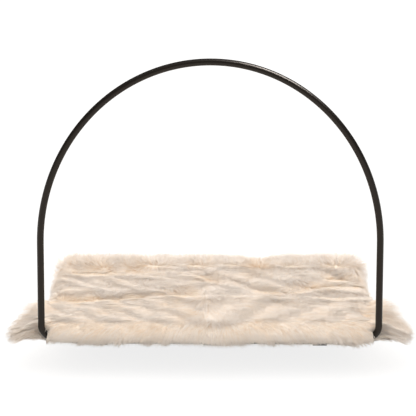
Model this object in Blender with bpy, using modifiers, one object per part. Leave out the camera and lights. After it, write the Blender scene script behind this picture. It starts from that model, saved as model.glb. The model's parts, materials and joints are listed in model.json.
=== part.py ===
"""A cat window hammock: a steel tube bed that hangs on four suction cups, with a folding arch.

The origin is the middle of the cup row, on the plane of the window glass.
+Y points into the glass, -Y into the room, +Z up. Lengths are in metres, angles in degrees.
At rest the arch stands up over the front of the bed. It turns forward and down about the
front bar until its crown meets the glass under the bed, where it props the bed up.
"""

import math

import bmesh
import bpy

# Fit between neighbours
GAP = 0.0003

# Steel tube, the same for the arch and the bed
TUBE_RADIUS = 0.006
TUBE_WALL = 0.0012
BEND_RADIUS = 0.022
SPLICE_LENGTH = 0.06
TUBE_END_GAP = 0.0006
TUBE_SIDES_STEP = 4
BEND_STEPS = 6

# Bed frame, measured between the centres of its tubes
FRAME_WIDTH = 0.498
FRAME_DEPTH = 0.3105
REAR_BAR_FROM_GLASS = 0.038
FRAME_ABOVE_CUPS = 0.016
REAR_SECTION_SHARE = 0.5

# Arch, measured along the centre of its tube
ARCH_HALF_WIDTH = 0.291
ARCH_LEG_HEIGHT = 0.172
ARCH_CROWN_RISE = 0.322
ARCH_STEPS = 44
ARCH_BEFORE_FRONT_BAR = 0.0115
ARCH_ABOVE_FRONT_BAR = 0.0093
ARCH_STOP_GAP = 0.001

# Clips that tie the arch to the front bar
CLIP_WALL = 0.0022
CLIP_WIDTH = 0.024
CLIP_MOUTH_HALF_ANGLE = 52
CLIP_SPREAD = 0.19
CLIP_ARC_STEPS = 14

# Sling
CLOTH = 0.0012
SLING_SAG = 0.006
SLING_END_FROM_BAR = 0.037
SLING_STEPS = 24
SLEEVE_STEPS = 20

# Foam pad
PAD_THICKNESS = 0.015
PAD_SIDE_MARGIN = 0.006
PAD_FRONT_FROM_BAR = 0.0125
PAD_REAR_FROM_BAR = 0.004
PAD_CROWN = 0.003
PAD_DRAWN_IN = 0.005
PAD_EDGE_SHARE = 0.55
PAD_SIDE_ROUND_SHARE = 0.1
PAD_END_ROUND_SHARE = 0.06
PAD_CORNER_SHARE = 0.05

# Crease where the pad folds in two, which also shows in the cover
CREASE_DEPTH = 0.004
CREASE_HALF_WIDTH = 0.016
CREASE_SHARE = 0.53

# Cover, with the mean depth of its pile
COVER_THICKNESS = 0.0105
COVER_OVER_PAD = 0.0005
COVER_CAVITY_MARGIN = 0.0105
COVER_WALL_STEP = 0.0005
COVER_SIDE = 0.0235
COVER_SHOULDER_SHARE = 0.45
COVER_REAR_NARROWING = 0.008
COVER_REAR_FROM_GLASS = 0.012
COVER_REAR_CORNER = 0.024
COVER_REAR_ROUND = 0.014
COVER_REAR_ROUND_SHARE = 0.4
COVER_REAR_STEP_SHARE = 0.3
COVER_REAR_RISE = 0.004
COVER_REAR_RISE_LENGTH = 0.08
COVER_REAR_SKIRT = 0.0345
COVER_SKIRT_BELOW_FRAME = 0.008
COVER_FRONT_ROUND = 0.046
COVER_FRONT_DROP = 0.022
COVER_FLAP_INSIDE = 0.0092
COVER_FLAP_BEHIND = 0.0113
COVER_FLAP_HALF_WIDTH = 0.274
COVER_FLAP_BOTTOM = 0.004
COVER_OVER_CLIP = 0.0008
COVER_ROWS = 12
COVER_COLUMNS = 19

# Forms of the pile: tufts that rise and sink, and dents where it parts.
# A dent is a line between two places. Each place is a share of the side rail's distance from
# the middle, then a share of the bed's depth from the front bar.
TUFT_RISE = 0.0022
TUFT_SPACING = 0.041
TUFT_SKEW_SHARE = 0.35
DENT_DEPTH = 0.0065
DENT_REACH = 0.019
DENT_SHARES = (
    ((-0.94, 0.90), (-0.71, 0.91)),
    ((-0.58, 0.91), (-0.54, 0.92)),
    ((-1.08, 0.41), (-0.80, 0.42)),
    ((-0.72, 0.44), (-0.42, 0.48)),
    ((-0.29, 0.51), (-0.17, 0.52)),
    ((0.01, 0.77), (0.05, 0.76)),
    ((0.34, 1.02), (0.37, 1.01)),
    ((0.37, 0.56), (0.60, 0.57)),
    ((0.67, 0.64), (0.88, 0.67)),
    ((0.89, 0.80), (0.92, 0.81)),
    ((1.02, 0.68), (1.06, 0.68)),
    ((1.06, 0.16), (1.10, 0.15)),
)

# Corners of the cover that stick out behind the arch legs
WING_REACH = 0.337
WING_LENGTH = 0.14
WING_FLARE_POWER = 0.8
WING_DROP = 0.007
WING_BEHIND_ARCH = 0.0085
WING_NOSE = 0.012
WING_NOSE_SETBACK = 0.01
LEG_CLEARANCE = 0.001

# Straps under the bed that hold the cover down
STRAP_THICKNESS = 0.0012
STRAP_WIDTH = 0.02
STRAP_FRONT_SHARE = 0.22
STRAP_REAR_SHARE = 0.78
STRAP_RISE = 0.012
STRAP_ARC_STEPS = 8

# Suction cups
CUP_SPREAD_OUTER = 0.2
CUP_SPREAD_INNER = 0.07
CUP_RADIUS = 0.03
CUP_RIM_WIDTH = 0.006
CUP_RIM_THICKNESS = 0.0015
CUP_HOLLOW = 0.007
CUP_DOME_HEIGHT = 0.012
CUP_NECK_RADIUS = 0.009
CUP_NECK_LENGTH = 0.01
CUP_STEPS = 24
CUP_DOME_ANGLES = (0, 25, 50, 75)
CUP_HOLLOW_ANGLES = (0, 25, 50, 90)
CUP_TAB_WIDTH = 0.012
CUP_TAB_REACH = 0.007
CUP_TAB_THICKNESS = 0.002
CUP_TAB_OVERLAP = 0.003

# Holder that snaps on the rear bar and carries a cup
HOLDER_WALL = 0.0025
HOLDER_WIDTH = 0.022
HOLDER_MOUTH_HALF_ANGLE = 55
HOLDER_BLOCK_DEPTH = 0.022
HOLDER_BLOCK_BOTTOM = 0.0105
HOLDER_BLOCK_TOP = 0.01
HOLDER_ARC_STEPS = 12

# Stud, washer and knob of a cup
STUD_RADIUS = 0.0025
STUD_IN_CUP = 0.012
STUD_BORE = 0.0028
WASHER_RADIUS = 0.0058
WASHER_THICKNESS = 0.0012
KNOB_RADIUS = 0.011
KNOB_LOBE_DEPTH = 0.002
KNOB_LOBES = 6
KNOB_LOBE_STEPS = 8
KNOB_THICKNESS = 0.012
KNOB_STUD_SETBACK = 0.0015

ROD_SIDES = 16
SHARP_ANGLE = 40
CUT_OVERRUN = 0.002
MERGE = 0.00001

# Places that follow from the sizes above
FRAME_Z = FRAME_ABOVE_CUPS
REAR_BAR_Y = -REAR_BAR_FROM_GLASS
FRONT_BAR_Y = REAR_BAR_Y - FRAME_DEPTH
SPLIT_Y = REAR_BAR_Y - REAR_SECTION_SHARE * FRAME_DEPTH
PIVOT_Y = FRONT_BAR_Y - ARCH_BEFORE_FRONT_BAR
PIVOT_Z = FRAME_Z + ARCH_ABOVE_FRONT_BAR
RAIL_X = FRAME_WIDTH / 2
BORE_RADIUS = TUBE_RADIUS + GAP
SLEEVE_RADIUS = BORE_RADIUS + CLOTH
CLIP_RADIUS = BORE_RADIUS + CLIP_WALL
CUP_NECK_END = CUP_DOME_HEIGHT + CUP_NECK_LENGTH
CUP_PLACES = (-CUP_SPREAD_OUTER, -CUP_SPREAD_INNER, CUP_SPREAD_INNER, CUP_SPREAD_OUTER)
ARCH_HEIGHT = ARCH_LEG_HEIGHT + ARCH_CROWN_RISE
PROP_SINE = (-PIVOT_Y - TUBE_RADIUS - ARCH_STOP_GAP) / ARCH_HEIGHT
PROP_ANGLE = math.asin(PROP_SINE)
CREASE_Y = REAR_BAR_Y - CREASE_SHARE * FRAME_DEPTH
PAD_REAR_Y = REAR_BAR_Y + PAD_REAR_FROM_BAR
PAD_FRONT_Y = FRONT_BAR_Y + PAD_FRONT_FROM_BAR
PAD_HALF = RAIL_X - PAD_SIDE_MARGIN
SLING_TOP = FRAME_Z + SLEEVE_RADIUS
CAVITY_HALF = RAIL_X + COVER_CAVITY_MARGIN
COVER_HALF = CAVITY_HALF + COVER_SIDE
PAD_TOP = SLING_TOP + GAP + PAD_THICKNESS
CAVITY_REAR_Y = PAD_REAR_Y + GAP + COVER_WALL_STEP
WING_FRONT_Y = PIVOT_Y + WING_BEHIND_ARCH
FLAP_INSIDE_Y = PIVOT_Y - COVER_FLAP_INSIDE
FLAP_FRONT_Y = FLAP_INSIDE_Y - COVER_FLAP_BEHIND


def clear_scene():
    for old in list(bpy.data.objects):
        bpy.data.objects.remove(old, do_unlink=True)


def new_collection(name):
    collection = bpy.data.collections.new(name)
    bpy.context.scene.collection.children.link(collection)
    return collection


clear_scene()
HAMMOCK = new_collection("cat_window_hammock")
CUTTERS = new_collection("cutters")


def finish(name, colour, roughness, metallic=0.0):
    """A plain material with the colour, roughness and metallic value of one part."""
    material = bpy.data.materials.new(name)
    material.use_nodes = True
    shader = material.node_tree.nodes["Principled BSDF"]
    shader.inputs["Base Color"].default_value = (*colour, 1)
    shader.inputs["Roughness"].default_value = roughness
    shader.inputs["Metallic"].default_value = metallic
    return material


BLACK_POWDER = (0.022, 0.019, 0.017)
BRIGHT_STEEL = (0.62, 0.62, 0.6)
BLACK_NYLON = (0.03, 0.03, 0.032)
CLEAR_RUBBER = (0.72, 0.74, 0.73)
DARK_CANVAS = (0.05, 0.048, 0.046)
WHITE_FOAM = (0.85, 0.83, 0.78)
CREAM_PILE = (0.81, 0.7, 0.6)
DARK_ELASTIC = (0.04, 0.038, 0.036)


def place(item, home, material, at=(0, 0, 0), turn=(0, 0, 0), parent=None):
    """Links an object, gives it its material, and puts it at a world place under its parent."""
    home.objects.link(item)
    if material:
        item.data.materials.append(material)
    item.location = at
    item.rotation_euler = turn
    if parent:
        item.parent = parent
        item.matrix_parent_inverse = parent.matrix_world.inverted()
    return item


def joint_empty(name, at):
    """An empty on a joint's axis, which carries the pieces that move together."""
    pivot = bpy.data.objects.new(name, None)
    HAMMOCK.objects.link(pivot)
    pivot.location = at
    bpy.context.view_layer.update()
    return pivot


ALONG_X = (math.pi / 2, 0, math.pi / 2)
ALONG_Y = (math.pi / 2, 0, 0)


def arc(centre, radius, start, end, steps):
    """Points on an arc in a plane, from one angle in degrees to another."""
    found = []
    for step in range(steps + 1):
        angle = math.radians(start + (end - start) * step / steps)
        found.append((centre[0] + radius * math.cos(angle), centre[1] + radius * math.sin(angle)))
    return found


def circle(radius, steps):
    return arc((0, 0), radius, 0, 360 * (steps - 1) / steps, steps - 1)


def route_curve(name, points, radius, capped):
    """A round bar along points, each a place in space."""
    curve = bpy.data.curves.new(name, "CURVE")
    curve.dimensions = "3D"
    curve.bevel_depth = radius
    curve.bevel_resolution = TUBE_SIDES_STEP
    curve.use_fill_caps = capped
    spline = curve.splines.new("POLY")
    spline.points.add(len(points) - 1)
    for point, place_of in zip(spline.points, points):
        point.co = (*place_of, 1)
        point.radius = 1
    return bpy.data.objects.new(name, curve)


def tube(name, points, at, parent=None):
    """A hollow steel tube along points that are given from the place at."""
    bar = route_curve(name + "_route", points, TUBE_RADIUS, False)
    CUTTERS.objects.link(bar)
    graph = bpy.context.evaluated_depsgraph_get()
    mesh = bpy.data.meshes.new_from_object(bar.evaluated_get(graph))
    bpy.data.objects.remove(bar, do_unlink=True)
    mesh.name = name
    mesh.materials.clear()
    for face in mesh.polygons:
        face.use_smooth = True
    item = place(bpy.data.objects.new(name, mesh), HAMMOCK, powder, at, parent=parent)
    wall = item.modifiers.new("wall", "SOLIDIFY")
    wall.thickness = TUBE_WALL
    wall.offset = -1
    return item


def rod(name, radius, length):
    """A solid round bar along its own Z."""
    mesh = bpy.data.meshes.new(name)
    shape = bmesh.new()
    bmesh.ops.create_cone(
        shape, cap_ends=True, segments=ROD_SIDES, radius1=radius, radius2=radius, depth=length
    )
    shape.to_mesh(mesh)
    shape.free()
    mesh.shade_smooth()
    mesh.set_sharp_from_angle(angle=math.radians(SHARP_ANGLE))
    return bpy.data.objects.new(name, mesh)


def splice_pin(name, at, turn, parent=None):
    """The solid pin inside two tube ends that meet."""
    pin = rod(name, TUBE_RADIUS - TUBE_WALL - 2 * GAP, SPLICE_LENGTH)
    place(pin, HAMMOCK, steel, at, turn, parent)


def plate(name, loops, thickness, material, at, turn, parent=None):
    """A flat outline with any holes, given as loops of points, and its thickness."""
    curve = bpy.data.curves.new(name, "CURVE")
    curve.dimensions = "2D"
    curve.fill_mode = "BOTH"
    curve.extrude = thickness / 2
    for loop in loops:
        spline = curve.splines.new("POLY")
        spline.points.add(len(loop) - 1)
        for point, place_of in zip(spline.points, loop):
            point.co = (*place_of, 0, 1)
        spline.use_cyclic_u = True
    return place(bpy.data.objects.new(name, curve), HAMMOCK, material, at, turn, parent)


def turned(name, profile, steps, material, at, turn, parent=None):
    """A turned shape: its profile goes from the top, outwards and down."""
    mesh = bpy.data.meshes.new(name)
    shape = bmesh.new()
    corners = [shape.verts.new((radius, 0, height)) for radius, height in profile]
    for first, second in zip(corners, corners[1:]):
        shape.edges.new((first, second))
    shape.to_mesh(mesh)
    shape.free()
    item = place(bpy.data.objects.new(name, mesh), HAMMOCK, material, at, turn, parent)
    spin = item.modifiers.new("turn", "SCREW")
    spin.steps = steps
    spin.render_steps = steps
    spin.use_merge_vertices = True
    spin.merge_threshold = MERGE
    spin.use_smooth_shade = True
    return item


def slab(name, plan, top, bottom, material, plain_rows=(), plain_columns=()):
    """A soft solid between two surfaces over one grid of rows.

    plan holds rows of (x, y), and top and bottom give a height for each row and column. The
    bottom is left without the edges of its plain rows and columns, which saves faces there.
    """
    mesh = bpy.data.meshes.new(name)
    shape = bmesh.new()
    layers = []
    for height in (bottom, top):
        layer = []
        for row, places in enumerate(plan):
            heights = [height(row, column) for column in range(len(places))]
            layer.append([shape.verts.new((*spot, z)) for spot, z in zip(places, heights)])
        layers.append(layer)
    for layer in layers:
        for near, far in zip(layer, layer[1:]):
            for a, b, c, d in zip(near, near[1:], far[1:], far):
                shape.faces.new((a, b, c, d))
    rims = [
        layer[0] + [row[-1] for row in layer[1:]] + layer[-1][-2::-1]
        + [row[0] for row in layer[-2:0:-1]]
        for layer in layers
    ]
    for index in range(len(rims[0])):
        after = (index + 1) % len(rims[0])
        shape.faces.new((rims[0][index], rims[0][after], rims[1][after], rims[1][index]))
    under = layers[0]
    spare = [(under[row][i], under[row][i + 1]) for row in plain_rows for i in range(len(plan[0]) - 1)]
    spare += [(near[i], far[i]) for i in plain_columns for near, far in zip(under, under[1:])]
    edges = [shape.edges.get(pair) for pair in spare]
    bmesh.ops.dissolve_edges(shape, edges=edges, use_verts=True)
    joined = [face for face in shape.faces if len(face.verts) > 4]
    bmesh.ops.triangulate(shape, faces=joined, ngon_method="BEAUTY")
    bmesh.ops.recalc_face_normals(shape, faces=shape.faces)
    for face in shape.faces:
        face.smooth = True
    shape.to_mesh(mesh)
    shape.free()
    return place(bpy.data.objects.new(name, mesh), HAMMOCK, material)


powder = finish("black_powder_coat", BLACK_POWDER, 0.38, 0.3)
steel = finish("zinc_plated_steel", BRIGHT_STEEL, 0.35, 1.0)
nylon = finish("black_nylon", BLACK_NYLON, 0.45)
rubber = finish("clear_rubber", CLEAR_RUBBER, 0.2)
canvas = finish("dark_canvas", DARK_CANVAS, 0.85)
foam = finish("white_foam", WHITE_FOAM, 0.9)
pile = finish("cream_pile", CREAM_PILE, 0.95)
elastic = finish("dark_elastic", DARK_ELASTIC, 0.8)


def bend(centre, start, end):
    return arc(centre, BEND_RADIUS, start, end, BEND_STEPS)


def frame_section(name, bar_y, facing):
    """Half of the bed frame: a bar with two bent arms that stop short of the split.

    facing is 1 where the arms run towards the glass and -1 where they run into the room.
    """
    arm_end = SPLIT_Y - facing * TUBE_END_GAP / 2
    inner_x = RAIL_X - BEND_RADIUS
    inner_y = bar_y + facing * BEND_RADIUS
    left = [(-x, y) for x, y in bend((inner_x, 0), -90, 0)]
    right = bend((inner_x, 0), -90, 0)
    flat = [(-RAIL_X, arm_end)]
    flat += [(x, inner_y + facing * y) for x, y in reversed(left)]
    flat += [(x, inner_y + facing * y) for x, y in right]
    flat += [(RAIL_X, arm_end)]
    points = [(x, y - bar_y, 0) for x, y in flat]
    return tube(name, points, (0, bar_y, FRAME_Z))


def bed_frame():
    frame_section("frame_front_tube", FRONT_BAR_Y, 1)
    frame_section("frame_rear_tube", REAR_BAR_Y, -1)
    splice_pin("frame_splice_left", (-RAIL_X, SPLIT_Y, FRAME_Z), ALONG_Y)
    splice_pin("frame_splice_right", (RAIL_X, SPLIT_Y, FRAME_Z), ALONG_Y)


def arch():
    """The arch: a half ellipse on straight legs, bent in to a bar that closes under the cover."""
    pivot = joint_empty("arch_pivot", (0, PIVOT_Y, PIVOT_Z))
    inner_x = ARCH_HALF_WIDTH - BEND_RADIUS
    right = [(TUBE_END_GAP / 2, 0)]
    right += [(x, BEND_RADIUS + y) for x, y in bend((inner_x, 0), -90, 0)]
    for step in range(ARCH_STEPS + 1):
        angle = math.pi / 2 * step / ARCH_STEPS
        rise = ARCH_LEG_HEIGHT + ARCH_CROWN_RISE * math.sin(angle)
        right.append((ARCH_HALF_WIDTH * math.cos(angle), rise))
    left = [(-x, z) for x, z in reversed(right[:-1])]
    points = [(x, 0, z) for x, z in right + left]
    tube("arch_tube", points, (0, PIVOT_Y, PIVOT_Z), pivot)
    across = (0, math.pi / 2, 0)
    splice_pin("arch_splice_pin", (0, PIVOT_Y, PIVOT_Z), across, pivot)


def pivot_clip_outline():
    """Two C shapes back to back, one round the front bar and one round the arch's bar."""
    toward = math.degrees(math.atan2(ARCH_ABOVE_FRONT_BAR, -ARCH_BEFORE_FRONT_BAR))
    apart = math.hypot(ARCH_BEFORE_FRONT_BAR, ARCH_ABOVE_FRONT_BAR)
    meet = math.degrees(math.acos(apart / 2 / CLIP_RADIUS))
    mouth = CLIP_MOUTH_HALF_ANGLE
    arch_bar = (-ARCH_BEFORE_FRONT_BAR, ARCH_ABOVE_FRONT_BAR)
    away = toward + 180
    outline = arc((0, 0), CLIP_RADIUS, toward + meet, away - mouth, CLIP_ARC_STEPS)
    outline += arc((0, 0), BORE_RADIUS, away - mouth, away + mouth - 360, 2 * CLIP_ARC_STEPS)
    outline += arc((0, 0), CLIP_RADIUS, away + mouth, toward - meet + 360, CLIP_ARC_STEPS)
    outline += arc(arch_bar, CLIP_RADIUS, away + meet, toward - mouth + 360, CLIP_ARC_STEPS)[1:]
    outline += arc(arch_bar, BORE_RADIUS, toward - mouth, toward + mouth - 360, 2 * CLIP_ARC_STEPS)
    outline += arc(arch_bar, CLIP_RADIUS, toward + mouth, away - meet, CLIP_ARC_STEPS)[:-1]
    return outline


def pivot_clips():
    outline = pivot_clip_outline()
    sides = (("left", -CLIP_SPREAD), ("middle", 0), ("right", CLIP_SPREAD))
    for side, x in sides:
        at = (x, FRONT_BAR_Y, FRAME_Z)
        plate("pivot_clip_" + side, [outline], CLIP_WIDTH, nylon, at, ALONG_X)


SLING_FRONT_Y = FRONT_BAR_Y + SLING_END_FROM_BAR
SLING_REAR_Y = REAR_BAR_Y - SLING_END_FROM_BAR


def sag(x, y=SPLIT_Y):
    """How far the sling and the pad's underside hang below the top of the side rails."""
    if not SLING_FRONT_Y < y < SLING_REAR_Y:
        return 0
    return SLING_SAG * max(0, 1 - (x / PAD_HALF) ** 2)


def sling():
    """One width of canvas whose sides are sewn into sleeves round the side rails."""
    inside = FRAME_Z + BORE_RADIUS
    seam_turn = math.degrees(math.acos(BORE_RADIUS / SLEEVE_RADIUS))
    half = [PAD_HALF * (2 * step / SLING_STEPS - 1) for step in range(SLING_STEPS + 1)]
    outline = [(x, SLING_TOP - sag(x)) for x in half]
    right = arc((RAIL_X, FRAME_Z), SLEEVE_RADIUS, 90, 90 + seam_turn - 360, SLEEVE_STEPS)
    outline += right
    outline += [(x, inside - sag(x)) for x in reversed(half[1:-1])]
    outline += [(-x, z) for x, z in reversed(right)]
    bore = circle(BORE_RADIUS, SLEEVE_STEPS)
    rails = [[(side * RAIL_X + x, FRAME_Z + z) for x, z in bore] for side in (-1, 1)]
    at = (0, (SLING_FRONT_Y + SLING_REAR_Y) / 2, 0)
    plate("sling", [outline, *rails], SLING_REAR_Y - SLING_FRONT_Y, canvas, at, ALONG_Y)


PAD_COLUMN_SHARES = (-1, -0.97, -0.9, -0.72, -0.48, -0.24, 0, 0.24, 0.48, 0.72, 0.9, 0.97, 1)
PAD_ROW_SHARES = (0, 0.03, 0.1, 0.22, 0.36, 0.66, 0.78, 0.88, 0.95, 1)


CREASE_ROWS = (CREASE_Y - CREASE_HALF_WIDTH, CREASE_Y, CREASE_Y + CREASE_HALF_WIDTH)


def pad_rows(shares):
    """Rows over the pad from the rear to the front, with three more for the crease."""
    rows = [PAD_REAR_Y + share * (PAD_FRONT_Y - PAD_REAR_Y) for share in shares]
    return sorted([*rows, *CREASE_ROWS], reverse=True)


def crown(x, y):
    """The pad's height over its edge height: a crown, less the crease."""
    along = (y - PAD_REAR_Y) / (PAD_FRONT_Y - PAD_REAR_Y)
    across = max(0, 1 - (x / PAD_HALF) ** 2)
    lengthwise = max(0, 4 * along * (1 - along))
    fold = max(0, 1 - abs(y - CREASE_Y) / CREASE_HALF_WIDTH)
    return PAD_CROWN * across * lengthwise - CREASE_DEPTH * fold


def pad():
    """A foam pad with a crowned top, drawn-in sides and a crease across its middle."""
    rows = pad_rows(PAD_ROW_SHARES)
    middle = (PAD_REAR_Y + PAD_FRONT_Y) / 2
    length = PAD_REAR_Y - PAD_FRONT_Y
    plan = []
    for y in rows:
        off = abs(y - middle) / (length / 2)
        tuck = PAD_DRAWN_IN * (1 - off ** 2)
        corner = PAD_CORNER_SHARE * PAD_HALF * max(0, off - (1 - PAD_CORNER_SHARE)) / PAD_CORNER_SHARE
        half = PAD_HALF - tuck - corner
        plan.append([(half * share, y) for share in PAD_COLUMN_SHARES])

    def bottom(row, column):
        return SLING_TOP + GAP - sag(*plan[row][column])

    def top(row, column):
        x, y = plan[row][column]
        share = PAD_COLUMN_SHARES[column]
        off = abs(y - middle) / (length / 2)
        side = max(0, abs(share) - (1 - PAD_SIDE_ROUND_SHARE)) / PAD_SIDE_ROUND_SHARE
        end = max(0, off - (1 - PAD_END_ROUND_SHARE)) / PAD_END_ROUND_SHARE
        rounded = 1 - PAD_EDGE_SHARE * max(side, end) ** 2
        return SLING_TOP + GAP + (PAD_THICKNESS + crown(x, y)) * rounded

    slab("foam_pad", plan, top, bottom, foam)


def cover_rows():
    """The cover's rows from the glass to the front of the flap."""
    rear = -COVER_REAR_FROM_GLASS
    rows = [rear, rear - COVER_REAR_STEP_SHARE * COVER_REAR_ROUND]
    rows += [CAVITY_REAR_Y + COVER_WALL_STEP, CAVITY_REAR_Y]
    rows += pad_rows([step / (COVER_ROWS + 1) for step in range(1, COVER_ROWS + 1)])
    rows += [WING_FRONT_Y + WING_NOSE, WING_FRONT_Y, WING_FRONT_Y - COVER_WALL_STEP]
    rows += [PIVOT_Y, FLAP_INSIDE_Y + 2 * COVER_WALL_STEP, FLAP_INSIDE_Y]
    rows += [FLAP_INSIDE_Y - COVER_WALL_STEP, (FLAP_INSIDE_Y + FLAP_FRONT_Y) / 2, FLAP_FRONT_Y]
    return rows


def cover_half_width(y):
    """Half the cover's width at a row: flared wings and a narrow flap."""
    if y < WING_FRONT_Y - COVER_WALL_STEP / 2:
        return COVER_FLAP_HALF_WIDTH
    rear = -COVER_REAR_FROM_GLASS
    along = (rear - y) / (rear - WING_FRONT_Y)
    half = COVER_HALF - COVER_REAR_NARROWING * (1 - along)
    half += (WING_REACH - COVER_HALF) * wing_flare(y) ** WING_FLARE_POWER
    nose = max(0, 1 - (y - WING_FRONT_Y) / WING_NOSE)
    return half - WING_NOSE_SETBACK * nose ** 2


def wing_flare(y):
    """How far the corners stick out at a row, from 0 behind them to 1 at their front."""
    return min(1, max(0, 1 - (y - WING_FRONT_Y) / WING_LENGTH))


def rear_corner(y):
    """The part of the cover's width that its rounded rear corners leave at a row."""
    corner = max(0, 1 - (-COVER_REAR_FROM_GLASS - y) / COVER_REAR_CORNER)
    return 1 - COVER_REAR_CORNER * (1 - math.sqrt(1 - corner ** 2)) / COVER_HALF


def dent(x, y):
    """How strongly the pile parts at a place, from 0 to 1 on the line of a dent."""
    felt = 0
    for start, end in DENT_SHARES:
        ends = [(RAIL_X * across, FRONT_BAR_Y + FRAME_DEPTH * back) for across, back in (start, end)]
        (x1, y1), (x2, y2) = ends
        run = (x2 - x1) ** 2 + (y2 - y1) ** 2
        share = min(1, max(0, ((x - x1) * (x2 - x1) + (y - y1) * (y2 - y1)) / run))
        far = math.hypot(x - x1 - share * (x2 - x1), y - y1 - share * (y2 - y1))
        felt = max(felt, math.exp(-((far / DENT_REACH) ** 2)))
    return felt


def pile_relief(x, y):
    """The height of the tufts, less the depth of the dents, at a place on the cover."""
    skewed = x + TUFT_SKEW_SHARE * y
    tuft = math.sin(math.pi * skewed / TUFT_SPACING) * math.cos(math.pi * y / TUFT_SPACING)
    return TUFT_RISE * tuft - DENT_DEPTH * dent(x, y)


COVER_SIDE_SHARES = (0, 0.4, 0.8, 1)


def cover():
    """The fleecy cover as one soft shell: a crowned top, skirts, a front flap and two wings."""
    rows = cover_rows()
    wall = CAVITY_HALF + COVER_WALL_STEP
    steps = range(COVER_COLUMNS + 2)
    inner = [CAVITY_HALF * (2 * step / (COVER_COLUMNS + 1) - 1) for step in steps]
    plan = []
    for y in rows:
        half = cover_half_width(y)
        right = [wall + share * (half - wall) for share in COVER_SIDE_SHARES]
        across = [-x for x in reversed(right)] + inner + right
        plan.append([(x * rear_corner(y), y) for x in across])
    first = len(right)
    sides = [*reversed(COVER_SIDE_SHARES), *[0] * len(inner), *COVER_SIDE_SHARES]
    over_clip = PIVOT_Z + CLIP_RADIUS + COVER_OVER_CLIP

    def ceiling(x, y):
        if y > PAD_FRONT_Y:
            return PAD_TOP + crown(x, y) + COVER_OVER_PAD
        down = min(1, (PAD_FRONT_Y - y) / (PAD_FRONT_Y - PIVOT_Y))
        return PAD_TOP + COVER_OVER_PAD + (over_clip - PAD_TOP - COVER_OVER_PAD) * down

    def bottom(row, column):
        x, y = plan[row][column]
        inside = first <= column < first + len(inner)
        if y > CAVITY_REAR_Y + COVER_WALL_STEP / 2:
            return COVER_REAR_SKIRT
        if y < FLAP_INSIDE_Y - COVER_WALL_STEP / 2:
            return PIVOT_Z - COVER_FLAP_BOTTOM
        if inside or y < WING_FRONT_Y - COVER_WALL_STEP / 2:
            return ceiling(x, y)
        leg = (TUBE_RADIUS + LEG_CLEARANCE) / PROP_SINE - (y - PIVOT_Y) / math.tan(PROP_ANGLE)
        return max(FRAME_Z - COVER_SKIRT_BELOW_FRAME, PIVOT_Z + leg)

    def top(row, column):
        x, y = plan[row][column]
        low = bottom(row, column)
        rear = -COVER_REAR_FROM_GLASS - y
        height = PAD_TOP + COVER_OVER_PAD + COVER_THICKNESS + crown(x, y)
        height += COVER_REAR_RISE * max(0, 1 - rear / COVER_REAR_RISE_LENGTH) ** 2
        height += pile_relief(x, y)
        height -= WING_DROP * max(0, abs(x) - COVER_HALF) / (WING_REACH - COVER_HALF)
        ridge = FLAP_FRONT_Y + COVER_FRONT_ROUND
        forward = min(1, max(0, ridge - y) / COVER_FRONT_ROUND)
        height -= COVER_FRONT_DROP * (1 - math.sqrt(1 - forward ** 2))
        back = max(0, 1 - rear / COVER_REAR_ROUND)
        height -= (height - low) * COVER_REAR_ROUND_SHARE * back ** 2
        return low + (height - low) * (1 - COVER_SHOULDER_SHARE * sides[column] ** 2)

    over_pad = [i for i, y in enumerate(rows) if PAD_FRONT_Y < y < CAVITY_REAR_Y]
    plain_rows = [i for i in over_pad if rows[i] not in CREASE_ROWS][::2]
    plain_columns = [i for i, share in enumerate(sides) if 0 < share < 1]
    plain_columns += range(first + 1, first + COVER_COLUMNS + 1, 2)
    slab("fur_cover", plan, top, bottom, pile, plain_rows, plain_columns)


def straps():
    """Two elastic straps that run under the bed from one side skirt to the other."""
    inside = SLEEVE_RADIUS + GAP
    outside = inside + STRAP_THICKNESS
    half = arc((RAIL_X, FRAME_Z), inside, -90, 0, STRAP_ARC_STEPS)
    half += [(RAIL_X + inside, FRAME_Z + STRAP_RISE), (RAIL_X + outside, FRAME_Z + STRAP_RISE)]
    half += arc((RAIL_X, FRAME_Z), outside, 0, -90, STRAP_ARC_STEPS)
    outline = half + [(-x, z) for x, z in reversed(half)]
    for side, share in (("rear", STRAP_REAR_SHARE), ("front", STRAP_FRONT_SHARE)):
        at = (0, FRONT_BAR_Y + share * FRAME_DEPTH, 0)
        plate("cover_strap_" + side, [outline], STRAP_WIDTH, elastic, at, ALONG_Y)


def holder_outline():
    """A C that is open at the top, on a block that the cup's stud goes through."""
    mouth = HOLDER_MOUTH_HALF_ANGLE
    outer = BORE_RADIUS + HOLDER_WALL
    glass_side = REAR_BAR_FROM_GLASS - CUP_NECK_END - GAP
    room_side = glass_side - HOLDER_BLOCK_DEPTH
    low = -HOLDER_BLOCK_BOTTOM - FRAME_Z
    shelf = HOLDER_BLOCK_TOP - FRAME_Z
    shelf_angle = math.degrees(math.asin(shelf / outer))
    side_angle = 360 - math.degrees(math.acos(room_side / outer))
    outline = arc((0, 0), BORE_RADIUS, 90 - mouth, mouth - 270, 2 * HOLDER_ARC_STEPS)
    outline += arc((0, 0), outer, 90 + mouth, side_angle, HOLDER_ARC_STEPS)
    outline += [(room_side, low), (glass_side, low), (glass_side, shelf)]
    outline += arc((0, 0), outer, shelf_angle, 90 - mouth, HOLDER_ARC_STEPS)
    return outline


def hide(tool):
    """Keeps a cutter or a guide out of the picture."""
    tool.hide_render = True
    tool.display_type = "WIRE"
    return tool


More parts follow.
